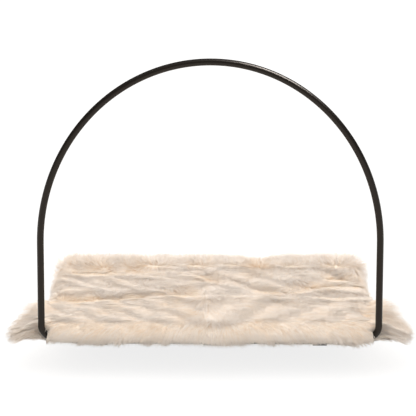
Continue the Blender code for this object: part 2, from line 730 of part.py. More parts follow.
def holder(number, x, parent):
    """The holder, with a bore for the stud through its block."""
    name = f"cup_holder_{number}"
    at = (x, REAR_BAR_Y, FRAME_Z)
    flat = plate(name + "_blank", [holder_outline()], HOLDER_WIDTH, None, at, ALONG_X)
    bpy.context.view_layer.update()
    graph = bpy.context.evaluated_depsgraph_get()
    mesh = bpy.data.meshes.new_from_object(flat.evaluated_get(graph))
    matrix = flat.matrix_world.copy()
    bpy.data.objects.remove(flat, do_unlink=True)
    mesh.name = name
    shape = bmesh.new()
    shape.from_mesh(mesh)
    bmesh.ops.remove_doubles(shape, verts=shape.verts, dist=MERGE)
    shape.to_mesh(mesh)
    shape.free()
    item = bpy.data.objects.new(name, mesh)
    place(item, HAMMOCK, nylon, matrix.translation, matrix.to_euler(), parent)
    block_middle = -CUP_NECK_END - GAP - HOLDER_BLOCK_DEPTH / 2
    depth = HOLDER_BLOCK_DEPTH + CUT_OVERRUN
    bore = rod(name + "_bore", STUD_BORE, depth)
    cutter = hide(place(bore, CUTTERS, None, (x, block_middle, 0), ALONG_Y))
    cut = item.modifiers.new("stud bore", "BOOLEAN")
    cut.operation = "DIFFERENCE"
    cut.object = cutter


def cup_profile():
    """The cup from its stud bore, out over the neck and dome to the rim, and into its hollow."""
    neck_root = CUP_DOME_HEIGHT
    bore_end = STUD_IN_CUP - GAP
    profile = [(0, CUP_NECK_END - bore_end), (STUD_BORE, CUP_NECK_END - bore_end)]
    profile += [(STUD_BORE, CUP_NECK_END), (CUP_NECK_RADIUS, CUP_NECK_END)]
    fall = neck_root - CUP_RIM_THICKNESS
    reach = CUP_RADIUS - CUP_NECK_RADIUS
    for angle in CUP_DOME_ANGLES:
        turn = math.radians(angle)
        profile.append(
            (CUP_NECK_RADIUS + reach * math.sin(turn), neck_root - fall * (1 - math.cos(turn)))
        )
    profile += [(CUP_RADIUS, CUP_RIM_THICKNESS), (CUP_RADIUS, 0)]
    hollow = CUP_RADIUS - CUP_RIM_WIDTH
    for angle in CUP_HOLLOW_ANGLES:
        turn = math.radians(angle)
        profile.append((hollow * math.cos(turn), CUP_HOLLOW * math.sin(turn)))
    profile[-1] = (0, CUP_HOLLOW)
    return profile


def suction_cup(number, x, parent):
    """A turned rubber cup with a tab at its lowest point for peeling it off."""
    name = f"suction_cup_{number}"
    cup = turned(name, cup_profile(), CUP_STEPS, rubber, (x, 0, 0), ALONG_Y, parent)
    mesh = bpy.data.meshes.new(name + "_tab")
    shape = bmesh.new()
    bmesh.ops.create_cube(shape, size=1)
    reach = CUP_TAB_REACH + CUP_TAB_OVERLAP
    bmesh.ops.scale(shape, verts=shape.verts, vec=(CUP_TAB_WIDTH, CUP_TAB_THICKNESS, reach))
    shape.to_mesh(mesh)
    shape.free()
    tab_z = -CUP_RADIUS - CUP_TAB_REACH + reach / 2
    tab_y = -CUP_TAB_THICKNESS / 2 - GAP
    tab = hide(place(bpy.data.objects.new(name + "_tab", mesh), CUTTERS, None, (x, tab_y, tab_z)))
    join = cup.modifiers.new("tab", "BOOLEAN")
    join.operation = "UNION"
    join.object = tab


def holder_room_side():
    return -CUP_NECK_END - GAP - HOLDER_BLOCK_DEPTH


def knob_glass_side():
    return holder_room_side() - GAP - WASHER_THICKNESS - GAP


def knob_room_side():
    return knob_glass_side() - KNOB_THICKNESS


def stud(number, x, parent):
    """The screw that runs from inside the cup's neck to inside the knob."""
    start = -(CUP_NECK_END - STUD_IN_CUP + 2 * GAP)
    end = knob_room_side() + KNOB_STUD_SETBACK
    screw = rod(f"cup_stud_{number}", STUD_RADIUS, start - end)
    place(screw, HAMMOCK, steel, (x, (start + end) / 2, 0), ALONG_Y, parent)


def washer(number, x, parent):
    loops = [circle(WASHER_RADIUS, CUP_STEPS), circle(STUD_BORE, ROD_SIDES)]
    y = holder_room_side() - GAP - WASHER_THICKNESS / 2
    name = f"cup_washer_{number}"
    plate(name, loops, WASHER_THICKNESS, steel, (x, y, 0), ALONG_Y, parent)


def knob(number, x, parent):
    """A lobed hand knob on the stud, with its origin on the stud's axis."""
    steps = KNOB_LOBES * KNOB_LOBE_STEPS
    outline = []
    for step in range(steps):
        angle = 2 * math.pi * step / steps
        radius = KNOB_RADIUS - KNOB_LOBE_DEPTH * (1 - math.cos(KNOB_LOBES * angle)) / 2
        outline.append((radius * math.cos(angle), radius * math.sin(angle)))
    loops = [outline, circle(STUD_BORE, ROD_SIDES)]
    y = (knob_glass_side() + knob_room_side()) / 2
    name = f"cup_knob_{number}"
    plate(name, loops, KNOB_THICKNESS, nylon, (x, y, 0), ALONG_Y, parent)


def cups():
    """Four cups, each with its holder, stud, washer and knob, on the rear bar."""
    for number, x in enumerate(CUP_PLACES, start=1):
        swivel = joint_empty(f"cup_swivel_{number}", (x, REAR_BAR_Y, FRAME_Z))
        holder(number, x, swivel)
        suction_cup(number, x, swivel)
        stud(number, x, swivel)
        washer(number, x, swivel)
        knob(number, x, swivel)


bed_frame()
arch()
pivot_clips()
sling()
pad()
cover()
straps()
cups()
print(f"The arch props the bed {math.degrees(PROP_ANGLE):.2f} degrees past straight down")
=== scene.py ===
# %% [markdown]
# # A cat window hammock
# The bed is a frame of thin steel tube that hangs on a window from four suction cups. A sling of
# canvas, a foam pad and a fleecy cover lie on it, and a tall arch stands over its front.
# This script dresses the solids of the construction: it keeps their places and sizes, and gives
# each one its finish, its fine shape and, on the cover, its long pile.

import json
import math

import bmesh
import bpy
import numpy as np
from mathutils import Matrix, Vector, kdtree


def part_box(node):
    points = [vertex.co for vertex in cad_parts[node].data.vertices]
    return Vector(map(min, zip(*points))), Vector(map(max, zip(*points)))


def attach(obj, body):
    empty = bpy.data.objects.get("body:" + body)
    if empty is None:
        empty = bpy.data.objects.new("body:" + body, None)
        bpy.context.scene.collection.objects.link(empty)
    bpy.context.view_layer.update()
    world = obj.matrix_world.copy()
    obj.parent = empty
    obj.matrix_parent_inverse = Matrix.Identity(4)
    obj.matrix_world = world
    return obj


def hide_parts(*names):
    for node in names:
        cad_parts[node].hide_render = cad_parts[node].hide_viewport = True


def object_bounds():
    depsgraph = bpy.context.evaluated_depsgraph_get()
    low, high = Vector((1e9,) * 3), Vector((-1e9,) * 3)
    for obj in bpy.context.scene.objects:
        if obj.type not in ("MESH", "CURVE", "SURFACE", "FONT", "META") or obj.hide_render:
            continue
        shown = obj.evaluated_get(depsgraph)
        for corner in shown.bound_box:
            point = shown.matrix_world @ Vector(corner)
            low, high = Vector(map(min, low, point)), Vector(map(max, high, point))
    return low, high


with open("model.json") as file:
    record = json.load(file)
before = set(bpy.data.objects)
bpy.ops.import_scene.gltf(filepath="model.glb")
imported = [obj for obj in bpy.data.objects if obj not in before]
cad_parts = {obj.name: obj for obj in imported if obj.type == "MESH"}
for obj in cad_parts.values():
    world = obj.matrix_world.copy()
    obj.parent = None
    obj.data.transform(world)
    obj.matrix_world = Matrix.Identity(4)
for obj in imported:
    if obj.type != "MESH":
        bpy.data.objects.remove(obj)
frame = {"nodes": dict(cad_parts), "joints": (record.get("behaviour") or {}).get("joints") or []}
frame_low, frame_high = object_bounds()
print("box of the frame, mm:", [round(1000 * side) for side in frame_high - frame_low])

# %% [markdown]
# ## Sizes that come from the frame
# Every piece below sits on a solid of the construction, so its places are read from the boxes
# of those solids. Typing them again would be shorter, but they would slip when a size changes.

# %% Read the places of the tubes
arch_hinge = Vector(next(j for j in frame["joints"] if j["name"] == "arch_fold")["pos_m"])
def box_of(node):
    """The low and the high corner of a solid's box."""
    return tuple(Vector(corner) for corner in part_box(node))


front_low, front_high = box_of("frame_front_tube")
rear_high, arch_high = box_of("frame_rear_tube")[1], box_of("arch_tube")[1]
cover_high = box_of("fur_cover")[1]

tube_radius = (front_high.z - front_low.z) / 2
frame_z = front_low.z + tube_radius
front_bar_y = front_low.y + tube_radius
rear_bar_y = rear_high.y - tube_radius
rail_x = front_high.x - tube_radius
arch_half = arch_high.x - tube_radius
bed_depth = rear_bar_y - front_bar_y
print(f"tube {2000 * tube_radius:.0f} mm across, bed {2000 * rail_x:.0f} mm wide between its rails")

# %% [markdown]
# ## The camera
# The photograph is taken from far away and a little above, so the sides of the arch stay nearly
# parallel. A long lens at six metres gives the same look. The distance sets how fast things
# shrink with depth, and the lens then sets how large they are in the picture.

# %% Set up the camera
CAMERA_DISTANCE = 6.0
CAMERA_ELEVATION = math.radians(18)
CAMERA_ROLL = math.radians(0.15)
CAMERA_LENS = 304.3
AIM_ABOVE_HINGE = 0.2355
AIM_LEFT = 0.0041

camera_data = bpy.data.cameras.new("photo_camera")
camera_data.lens = CAMERA_LENS
camera = bpy.data.objects.new("photo_camera", camera_data)
bpy.context.scene.collection.objects.link(camera)
aim = arch_hinge + Vector((-AIM_LEFT, 0, AIM_ABOVE_HINGE))
away = Vector((0, -math.cos(CAMERA_ELEVATION), math.sin(CAMERA_ELEVATION)))
camera.location = aim + CAMERA_DISTANCE * away
upright = Matrix.Rotation(math.pi / 2 - CAMERA_ELEVATION, 3, "X")
camera.rotation_euler = (upright @ Matrix.Rotation(CAMERA_ROLL, 3, "Z")).to_euler()
bpy.context.scene.camera = camera
print("camera at", [round(value, 2) for value in camera.location])

# %% [markdown]
# ## Helpers for shapes and nodes
# Most pieces start as a bmesh and end as an object that rides on one body of the frame. One
# function does the end of that work, so that no piece forgets its slot or its body.

# %% Finish a piece, and add nodes to a material
def add_piece(name, mesh, material, body, stands_for=(), sharp=None):
    """Makes a mesh an object of the hammock that moves with a body of the frame."""
    if sharp is not None:
        mesh.shade_smooth()
        mesh.set_sharp_from_angle(angle=math.radians(sharp))
    item = bpy.data.objects.new(name, mesh)
    bpy.context.scene.collection.objects.link(item)
    mesh.materials.clear()
    mesh.materials.append(material)
    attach(item, body)
    if stands_for:
        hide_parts(*stands_for)
    return item


def to_mesh(shape, name, outwards=False):
    """Ends a bmesh as a mesh of its own, with its faces turned outwards where that is asked."""
    if outwards:
        bmesh.ops.recalc_face_normals(shape, faces=shape.faces)
    mesh = bpy.data.meshes.new(name)
    shape.to_mesh(mesh)
    shape.free()
    return mesh


def thicken(item, thickness, offset):
    """Gives a single layer a thickness: inwards at offset -1, and both ways at 0."""
    wall = item.modifiers.new("wall", "SOLIDIFY")
    wall.thickness = thickness
    wall.offset = offset


SAME_PLACE = 0.00001


def of_kind(things, kind):
    """Those of the grown things that are corners, edges or faces."""
    return [thing for thing in things if isinstance(thing, kind)]


def extend(shape, edges):
    """Extrudes edges. Gives their new corners and the new edges between these."""
    grown = bmesh.ops.extrude_edge_only(shape, edges=edges)["geom"]
    corners = of_kind(grown, bmesh.types.BMVert)
    moved = set(corners)
    edges = of_kind(grown, bmesh.types.BMEdge)
    return corners, [edge for edge in edges if moved.issuperset(edge.verts)]


def hard_edges(shape, degrees):
    """The edges whose faces meet at more than an angle."""
    return [edge for edge in shape.edges if edge.calc_face_angle(0) > math.radians(degrees)]


def round_edges(shape, edges, width, segments, **more):
    """Rounds edges of a shape to a width."""
    bmesh.ops.bevel(shape, geom=edges, offset=width, segments=segments, profile=0.5,
                    affect="EDGES", material=-1, **more)


def add_node(tree, kind, inputs=(), **settings):
    """Adds a node with values for its inputs, given by name or number, and its settings."""
    made = tree.nodes.new("ShaderNode" + kind)
    for key, value in settings.items():
        setattr(made, key, value)
    for key, value in dict(inputs).items():
        made.inputs[key].default_value = value
    return made


def wire(tree, *links):
    """Joins sockets. A link is a node, its output, the next node and its input."""
    for source, out, target, into in links:
        tree.links.new(source.outputs[out], target.inputs[into])


def new_material(name, **values):
    """A material with a Principled BSDF, whose sockets take the values given."""
    material = bpy.data.materials.new(name)
    material.use_nodes = True
    tree = material.node_tree
    shader = tree.nodes["Principled BSDF"]
    for key, value in values.items():
        shader.inputs[key.replace("_", " ").title().replace("Ior", "IOR")].default_value = value
    return material, tree, shader


# %% [markdown]
# ## Floor, backdrop and light
# A studio floor that runs on past the view gives a white ground with one soft shadow. The camera
# sees a floor that glows to white, and the hammock is lit by the same floor without the glow, so
# the pale fur isn't washed out. The lamps are large, so every shadow has a soft rim.

# %% Make the floor and the world
FLOOR_SIZE = 60.0
FLOOR_GAP = 0.0005
FLOOR_SHOWN = 0.2
FLOOR_BOUNCE = 0.6
FLOOR_GLOW = 0.82


def seen_or_mirrored(tree):
    """1 for rays from the camera and for the first rays off gloss or through glass."""
    path = add_node(tree, "LightPath")
    both = add_node(tree, "Math", operation="MAXIMUM")
    every = add_node(tree, "Math", operation="MAXIMUM")
    wire(tree, (path, "Is Camera Ray", both, 0), (path, "Is Glossy Ray", both, 1),
               (both, 0, every, 0), (path, "Is Transmission Ray", every, 1))
    return every.outputs[0]


floor_shape = bmesh.new()
bmesh.ops.create_grid(floor_shape, x_segments=1, y_segments=1, size=FLOOR_SIZE / 2)
bmesh.ops.translate(floor_shape, verts=floor_shape.verts, vec=(0, 0, frame_low.z - FLOOR_GAP))
floor = bpy.data.objects.new("floor", to_mesh(floor_shape, "floor"))
bpy.context.scene.collection.objects.link(floor)

paper, paper_tree, paper_shader = new_material("white_paper")
paper_shader.inputs["Roughness"].default_value = 1
paper_shader.inputs["Specular IOR Level"].default_value = 0
paper_shader.inputs["Emission Color"].default_value = (1, 1, 1, 1)
seen = seen_or_mirrored(paper_tree)
glow = add_node(paper_tree, "Math", {1: FLOOR_GLOW}, operation="MULTIPLY")
tone = add_node(paper_tree, "MapRange", {"To Min": FLOOR_BOUNCE, "To Max": FLOOR_SHOWN})
paper_tree.links.new(seen, glow.inputs[0])
paper_tree.links.new(seen, tone.inputs["Value"])
wire(paper_tree, (glow, 0, paper_shader, "Emission Strength"),
                 (tone, "Result", paper_shader, "Base Color"))
floor.data.materials.append(paper)

WORLD_IN_FRONT, WORLD_BEHIND = 1.02, 1.9
WORLD_MIRRORED = 0.1
FILL_WARMTH = (1, 0.968, 0.925, 1)
world = bpy.data.worlds.new("studio")
bpy.context.scene.world = world
world.use_nodes = True
sky = world.node_tree.nodes["Background"]
way = add_node(world.node_tree, "TexCoord")
parts = add_node(world.node_tree, "SeparateXYZ")
across_room = add_node(world.node_tree, "MapRange", {
    "From Min": -1.0, "To Min": WORLD_IN_FRONT, "To Max": WORLD_BEHIND})
level = add_node(world.node_tree, "MapRange", {"To Max": 1.0})
wire(world.node_tree, (way, "Generated", parts, 0), (parts, "Y", across_room, "Value"),
                      (across_room, "Result", level, "To Min"))
world.node_tree.links.new(seen_or_mirrored(world.node_tree), level.inputs["Value"])
gloss = add_node(world.node_tree, "LightPath")
mirrored = add_node(world.node_tree, "MapRange", {"To Max": WORLD_MIRRORED})
wire(world.node_tree, (gloss, "Is Glossy Ray", mirrored, "Value"),
                      (level, "Result", mirrored, "To Min"), (mirrored, "Result", sky, "Strength"))
white = (1, 1, 1, 1)
fill = add_node(world.node_tree, "Mix", {"A": FILL_WARMTH, "B": white}, data_type="RGBA")
world.node_tree.links.new(level.inputs["Value"].links[0].from_socket, fill.inputs["Factor"])
wire(world.node_tree, (fill, "Result", sky, "Color"))
bpy.context.scene.view_settings.view_transform = "Standard"
print("floor laid", round(1000 * (arch_hinge.z - floor.data.vertices[0].co.z)), "mm below the hinge")

# %% Hang the lamps
# Each lamp: its name, where it hangs from the middle of the bed, its side, its power in watts, and
# whether it lights dull surfaces. The rim lamp only draws the bright line on the arch.
LAMPS = (
    ("window_box", (-0.8, -0.4, 2.7), 2.8, 12, True),
    ("rim_box", (1.3, -0.3, 2.5), 1.3, 190, False),
)
LAMP_COLOUR = (0.94, 0.97, 1.0)


def hang_lamp(name, offset, side, power, lights_all, target):
    """A square softbox that looks at a place."""
    lamp = bpy.data.lights.new(name, "AREA")
    lamp.shape = "SQUARE"
    lamp.size = side
    lamp.energy = power
    lamp.color = LAMP_COLOUR
    item = bpy.data.objects.new(name, lamp)
    bpy.context.scene.collection.objects.link(item)
    item.location = target + Vector(offset)
    item.rotation_euler = Vector(offset).to_track_quat("Z", "Y").to_euler()
    item.visible_diffuse = lights_all


bed_middle = Vector((0, (front_bar_y + rear_bar_y) / 2, frame_z))
for lamp in LAMPS:
    hang_lamp(*lamp, bed_middle)
print("lamps:", [lamp[0] for lamp in LAMPS])

# %% [markdown]
# ## Powder coat on steel tube
# The tube is painted with a black powder that melts into a skin. It keeps a faint orange peel. Long
# lighter streaks along it are a painted reflection of its long highlights. The streaks follow the
# tube, so they need coordinates that run with it: the sweep below stores how far along and how far
# round each corner lies.

# %% The black powder coat
POWDER_BLACK = (0.0065, 0.0052, 0.0044, 1)
# A painted reflection: the lighter shade of the streaks along the tube.
POWDER_PAINTED_REFLECTION = (0.015, 0.012, 0.01, 1)


def powder_coat():
    """Black satin skin with painted reflection streaks along the tube and an orange peel."""
    material, tree, shader = new_material("powder_coat", roughness=0.3)
    shader.inputs["Specular IOR Level"].default_value = 0.3
    shader.inputs["Specular Tint"].default_value = (1, 0.86, 0.74, 1)
    route = add_node(tree, "Attribute", attribute_name="route")
    stretch = add_node(tree, "Mapping", {"Scale": (5.0, 2.6, 2.6)})
    # Painted reflection: lighter streaks that run along the tube.
    painted_reflection = add_node(tree, "TexNoise", {"Scale": 1.0, "Detail": 3, "Roughness": 0.6})
    colour = add_node(tree, "ValToRGB")
    colour.color_ramp.elements[0].position = 0.42
    colour.color_ramp.elements[0].color = POWDER_BLACK
    colour.color_ramp.elements[1].position = 0.8
    colour.color_ramp.elements[1].color = POWDER_PAINTED_REFLECTION
    place = add_node(tree, "TexCoord")
    peel = add_node(tree, "TexNoise", {"Scale": 1500, "Detail": 2})
    bump = add_node(tree, "Bump", {"Strength": 0.12, "Distance": 0.0003})
    wire(tree, (route, "Vector", stretch, "Vector"), (stretch, 0, painted_reflection, "Vector"),
               (painted_reflection, "Fac", colour, "Fac"), (colour, 0, shader, "Base Color"),
               (place, "Object", peel, "Vector"), (peel, "Fac", bump, "Height"),
               (bump, 0, shader, "Normal"))
    return material


coated_steel = powder_coat()
print("coat made:", coated_steel.name)

# %% [markdown]
# ## Sweeping a tube
# A tube is one ring carried along a line. Blender's curve object can do it, but a bmesh keeps
# hold of the ring, so it can also write down the place along the tube. The ring is turned by
# the least turn from each point to the next, so the tube doesn't twist.

# %% Carry a ring along a route
TUBE_SIDES = 32
TUBE_SHARP = 40


def frames_along(route):
    """A matrix at each point of a route. It turns no more than the route does."""
    ways = [(end - start).normalized() for start, end in zip(route, route[1:])]
    inner = [(before + after).normalized() for before, after in zip(ways, ways[1:])]
    ways = [ways[0], *inner, ways[-1]]
    turn = ways[0].to_track_quat("Z", "Y")
    frames = []
    for index, (place, way) in enumerate(zip(route, ways)):
        if index:
            turn = ways[index - 1].rotation_difference(way) @ turn
        frames.append(Matrix.Translation(place) @ turn.to_matrix().to_4x4())
    return frames


def sweep(shape, edges, frames):
    """Extrudes a loop of edges, drawn round the first frame, through the others."""
    around = shape.verts.layers.float_vector.new("route")
    first = {corner for edge in edges for corner in edge.verts}
    bmesh.ops.transform(shape, matrix=frames[0], verts=list(first))
    passed = 0.0
    for before, after in zip(frames, frames[1:]):
        passed += (after.translation - before.translation).length
        corners, edges = extend(shape, edges)
        bmesh.ops.transform(shape, matrix=after @ before.inverted(), verts=corners)
        for corner in corners:
            side = after.inverted() @ corner.co
            corner[around] = (side.x / tube_radius, side.y / tube_radius, passed)


def hollow_tube(name, route, body, stands_for):
    """A tube with a wall along a route."""
    shape = bmesh.new()
    bmesh.ops.create_circle(shape, segments=TUBE_SIDES, radius=tube_radius)
    sweep(shape, list(shape.edges), frames_along(route))
    mesh = to_mesh(shape, name, True)
    item = add_piece(name, mesh, coated_steel, body, stands_for, TUBE_SHARP)
    thicken(item, TUBE_WALL, -1)
    print(name, "has", len(route), "rings")


# %% Bend the arch and the two halves of the bed frame
TUBE_WALL = 0.0012
BEND_RADIUS = 0.022
BEND_STEPS = 10
LEG_HEIGHT = 0.172
CROWN_STEPS = 56
TUBE_END_GAP = 0.0006
crown_rise = arch_high.z - tube_radius - arch_hinge.z - LEG_HEIGHT


def arch_route():
    """The centre line of the arch: bar, bend, leg and half an ellipse, then the same again."""
    right = [(TUBE_END_GAP / 2, 0)]
    for step in range(BEND_STEPS + 1):
        angle = math.pi / 2 * step / BEND_STEPS
        right.append((arch_half - BEND_RADIUS * (1 - math.sin(angle)),
                      BEND_RADIUS * (1 - math.cos(angle))))
    for step in range(CROWN_STEPS + 1):
        angle = math.pi / 2 * step / CROWN_STEPS
        right.append((arch_half * math.cos(angle), LEG_HEIGHT + crown_rise * math.sin(angle)))
    left = [(-x, z) for x, z in reversed(right[:-1])]
    return [arch_hinge + Vector((x, 0, z)) for x, z in right + left]


def frame_route(bar_y, facing):
    """The centre line of half the bed frame, whose arms run towards facing times +Y."""
    split = (front_low.y + rear_high.y) / 2
    half = [(rail_x, split - facing * TUBE_END_GAP / 2)]
    for step in range(BEND_STEPS + 1):
        angle = math.pi / 2 * step / BEND_STEPS
        half.append((rail_x - BEND_RADIUS * (1 - math.cos(angle)),
                     bar_y + facing * BEND_RADIUS * (1 - math.sin(angle))))
    whole = half + [(-x, y) for x, y in reversed(half)]
    return [Vector((x, y, frame_z)) for x, y in whole]


hollow_tube("arch_tube_coated", arch_route(), "arch", ["arch_tube"])
hollow_tube("frame_front_coated", frame_route(front_bar_y, 1), "bed", ["frame_front_tube"])
hollow_tube("frame_rear_coated", frame_route(rear_bar_y, -1), "bed", ["frame_rear_tube"])

# %% [markdown]
# ## Effects that several materials share
# A mottle is a soft noise. It stands for the spark marks of a mould, the bloom on rubber and the
# crystals of zinc. A weave is two sets of threads that pass over and under each other. Both are
# node groups, so each material only gives them its own scale and range.

# %% Node groups for a mottle and a weave
def new_group(name, numbers, outputs):
    """A node group that takes coordinates and numbers, and puts out numbers."""
    group = bpy.data.node_groups.new(name, "ShaderNodeTree")
    face = group.interface
    face.new_socket(name="Coordinates", in_out="INPUT", socket_type="NodeSocketVector")
    for label, value in numbers.items():
        socket = face.new_socket(name=label, in_out="INPUT", socket_type="NodeSocketFloat")
        socket.default_value = value
    for label in outputs:
        face.new_socket(name=label, in_out="OUTPUT", socket_type="NodeSocketFloat")
    return group, group.nodes.new("NodeGroupInput"), group.nodes.new("NodeGroupOutput")


def mottle_group():
    """A noise, and the same noise stretched from a low to a high limit."""
    numbers = {"Scale": 100, "Low": 0.35, "High": 0.65}
    group, given, result = new_group("mottle", numbers, ("Mask", "Height"))
    noise = add_node(group, "TexNoise", {"Detail": 3, "Roughness": 0.6})
    spread = add_node(group, "MapRange")
    wire(group, (given, "Coordinates", noise, "Vector"), (given, "Scale", noise, "Scale"),
                (noise, "Fac", spread, "Value"), (given, "Low", spread, "From Min"),
                (given, "High", spread, "From Max"), (spread, "Result", result, "Mask"),
                (noise, "Fac", result, "Height"))
    return group


def weave_group():
    """Pillows where threads cross, with so many threads to the metre along X and Y."""
    numbers = {"Threads Along": 800, "Threads Across": 800}
    group, given, result = new_group("weave", numbers, ("Height", "Crossing"))
    parts = add_node(group, "SeparateXYZ")
    wire(group, (given, "Coordinates", parts, 0))
    waves = []
    for axis, label in (("X", "Threads Along"), ("Y", "Threads Across")):
        count = add_node(group, "Math", operation="MULTIPLY")
        turn = add_node(group, "Math", {1: math.pi}, operation="MULTIPLY")
        wave = add_node(group, "Math", operation="SINE")
        wire(group, (parts, axis, count, 0), (given, label, count, 1), (count, 0, turn, 0),
                    (turn, 0, wave, 0))
        waves.append(wave)
    crossing = add_node(group, "Math", operation="MULTIPLY")
    pillow = add_node(group, "Math", operation="ABSOLUTE")
    shade = add_node(group, "MapRange", {"From Min": -1.0})
    group.links.new(waves[0].outputs[0], crossing.inputs[0])
    group.links.new(waves[1].outputs[0], crossing.inputs[1])
    wire(group, (crossing, 0, pillow, 0), (crossing, 0, shade, "Value"),
                (pillow, 0, result, "Height"), (shade, "Result", result, "Crossing"))
    return group


mottle, weave = mottle_group(), weave_group()


def add_group(tree, group, coordinates, **numbers):
    """Places a node group in a material, with its coordinates and numbers."""
    made = add_node(tree, "Group", node_tree=group)
    tree.links.new(coordinates, made.inputs["Coordinates"])
    for label, value in numbers.items():
        made.inputs[label.replace("_", " ")].default_value = value
    return made


print("node groups:", mottle.name, "and", weave.name)

# %% [markdown]
# ## Materials of the small parts and the cloths
# The clips, holders and knobs are injection moulded nylon. Their moulds are spark eroded, which
# leaves a fine dull texture that hides scratches. The screws are zinc plated, with faint
# crystals. The cups are clear soft rubber. The cloths are a plain canvas, a ribbed elastic and
# the knitted back of the pile fabric.

# %% One function for a mottled or woven finish
def blend_colours(tree, shader, mask, first, second):
    """Colours a surface with two shades that a mask mixes."""
    mix = add_node(tree, "Mix", {"A": first, "B": second}, data_type="RGBA")
    tree.links.new(mask, mix.inputs["Factor"])
    wire(tree, (mix, "Result", shader, "Base Color"))


def roughen(tree, shader, mask, low, high):
    """Lets a mask move the roughness from low to high."""
    spread = add_node(tree, "MapRange", {"To Min": low, "To Max": high})
    tree.links.new(mask, spread.inputs["Value"])
    wire(tree, (spread, "Result", shader, "Roughness"))


def raise_bumps(tree, shader, height, strength, distance):
    """Lets a height shape the surface, in metres."""
    bump = add_node(tree, "Bump", {"Strength": strength, "Distance": distance})
    tree.links.new(height, bump.inputs["Height"])
    wire(tree, (bump, 0, shader, "Normal"))


def mottled_material(name, patches, grain, roughness, **values):
    """Two shades in patches, a fine grain, and a roughness that follows the patches."""
    material, tree, shader = new_material(name, **values)
    place = add_node(tree, "TexCoord").outputs["Object"]
    broad = add_group(tree, mottle, place, Scale=patches)
    fine = add_group(tree, mottle, place, Scale=grain)
    blend_colours(tree, shader, broad.outputs["Mask"], *SHADES[name])
    roughen(tree, shader, broad.outputs["Mask"], *roughness)
    raise_bumps(tree, shader, fine.outputs["Height"], 0.25, 0.0002)
    return material


def woven_material(name, along, across):
    """A cloth of two shades, with threads to the metre along and across."""
    material, tree, shader = new_material(name, roughness=0.85)
    shader.inputs["Specular IOR Level"].default_value = 0.2
    place = add_node(tree, "TexCoord").outputs["Object"]
    cloth = add_group(tree, weave, place, Threads_Along=along, Threads_Across=across)
    worn = add_group(tree, mottle, place, Scale=60)
    both = add_node(tree, "Math", operation="MULTIPLY")
    wire(tree, (cloth, "Crossing", both, 0), (worn, "Height", both, 1))
    blend_colours(tree, shader, both.outputs[0], *SHADES[name])
    roughen(tree, shader, worn.outputs["Mask"], 0.78, 0.92)
    raise_bumps(tree, shader, cloth.outputs["Height"], 0.7, 0.0004)
    return material


# %% The materials
# The two shades of each finish, as red, green, blue and alpha.
SHADES = {
    "moulded_nylon": ((0.012, 0.012, 0.013, 1), (0.022, 0.021, 0.021, 1)),
    "zinc_plate": ((0.48, 0.49, 0.50, 1), (0.66, 0.66, 0.64, 1)),
    "soft_rubber": ((0.90, 0.94, 0.93, 1), (0.97, 0.98, 0.97, 1)),
    "dark_canvas": ((0.03, 0.029, 0.028, 1), (0.085, 0.08, 0.076, 1)),
    "ribbed_elastic": ((0.02, 0.019, 0.018, 1), (0.07, 0.066, 0.062, 1)),
    "knitted_back": ((0.62, 0.54, 0.45, 1), (0.80, 0.72, 0.62, 1)),
    "sewing_thread": ((0.06, 0.055, 0.05, 1), (0.16, 0.15, 0.14, 1)),
    "open_foam": ((0.70, 0.65, 0.56, 1), (0.86, 0.83, 0.76, 1)),
}
# Mottles: patches and grain to the metre, then the roughness from low to high.
moulded_nylon = mottled_material("moulded_nylon", 140, 2600, (0.42, 0.56))
zinc_plate = mottled_material("zinc_plate", 900, 3500, (0.24, 0.38), metallic=1)
soft_rubber = mottled_material(
    "soft_rubber", 90, 700, (0.06, 0.16), transmission_weight=0.9, ior=1.42)
# Weaves: threads to the metre, along and across.
dark_canvas = woven_material("dark_canvas", 900, 900)
ribbed_elastic = woven_material("ribbed_elastic", 1400, 500)
knitted_back = woven_material("knitted_back", 700, 450)
sewing_thread = woven_material("sewing_thread", 4200, 4200)


def open_foam():
    """Cells of one size, each a small pit with a pale rim."""
    material, tree, shader = new_material("open_foam", roughness=0.95)
    place = add_node(tree, "TexCoord").outputs["Object"]
    cells = add_node(tree, "TexVoronoi", {"Scale": 650}, feature="DISTANCE_TO_EDGE")
    aged = add_group(tree, mottle, place, Scale=25)
    tree.links.new(place, cells.inputs["Vector"])
    # Painted shade: each pit is coloured darker than its pale rim.
    rim = add_node(tree, "MapRange", {"From Max": 0.25, "To Min": 1.0, "To Max": 0.0})
    wire(tree, (cells, "Distance", rim, "Value"))
    blend_colours(tree, shader, rim.outputs["Result"], *SHADES["open_foam"])
    roughen(tree, shader, aged.outputs["Mask"], 0.88, 0.97)
    raise_bumps(tree, shader, rim.outputs["Result"], 0.8, 0.0008)
    return material


foam = open_foam()
print("materials so far:", len(bpy.data.materials))

# %% [markdown]
# ## Small parts with rounded edges
# A moulded edge is never sharp. The clips, holders and washers keep the shape of their solids,
# so they start as copies of them. The flat triangles are joined again, and every hard edge is
# rounded. Modelling them anew would risk a clip that no longer fits the bars that it turns on.

# %% Copy a solid and round its edges
HARD_EDGE = 35
RIM_ANGLE = 60
FLAT_ANGLE = 1
SMALL_PART_SHARP = 40
CLIP_EDGE = 0.0006
HOLDER_EDGE = 0.0008
WASHER_EDGE = 0.0002


def rounded_copy(node, width, segments=3):
    """The solid of a node with its flat faces joined and its hard edges rounded."""
    shape = bmesh.new()
    shape.from_mesh(frame["nodes"][node].data)
    bmesh.ops.remove_doubles(shape, verts=shape.verts, dist=SAME_PLACE)
    bmesh.ops.dissolve_limit(
        shape, angle_limit=math.radians(FLAT_ANGLE), verts=shape.verts, edges=shape.edges)
    round_edges(shape, hard_edges(shape, HARD_EDGE), width, segments, clamp_overlap=True)
    return to_mesh(shape, node + "_rounded", True)


for side in ("left", "middle", "right"):
    node = "pivot_clip_" + side
    add_piece(node + "_moulded", rounded_copy(node, CLIP_EDGE), moulded_nylon, "bed",
              [node], SMALL_PART_SHARP)

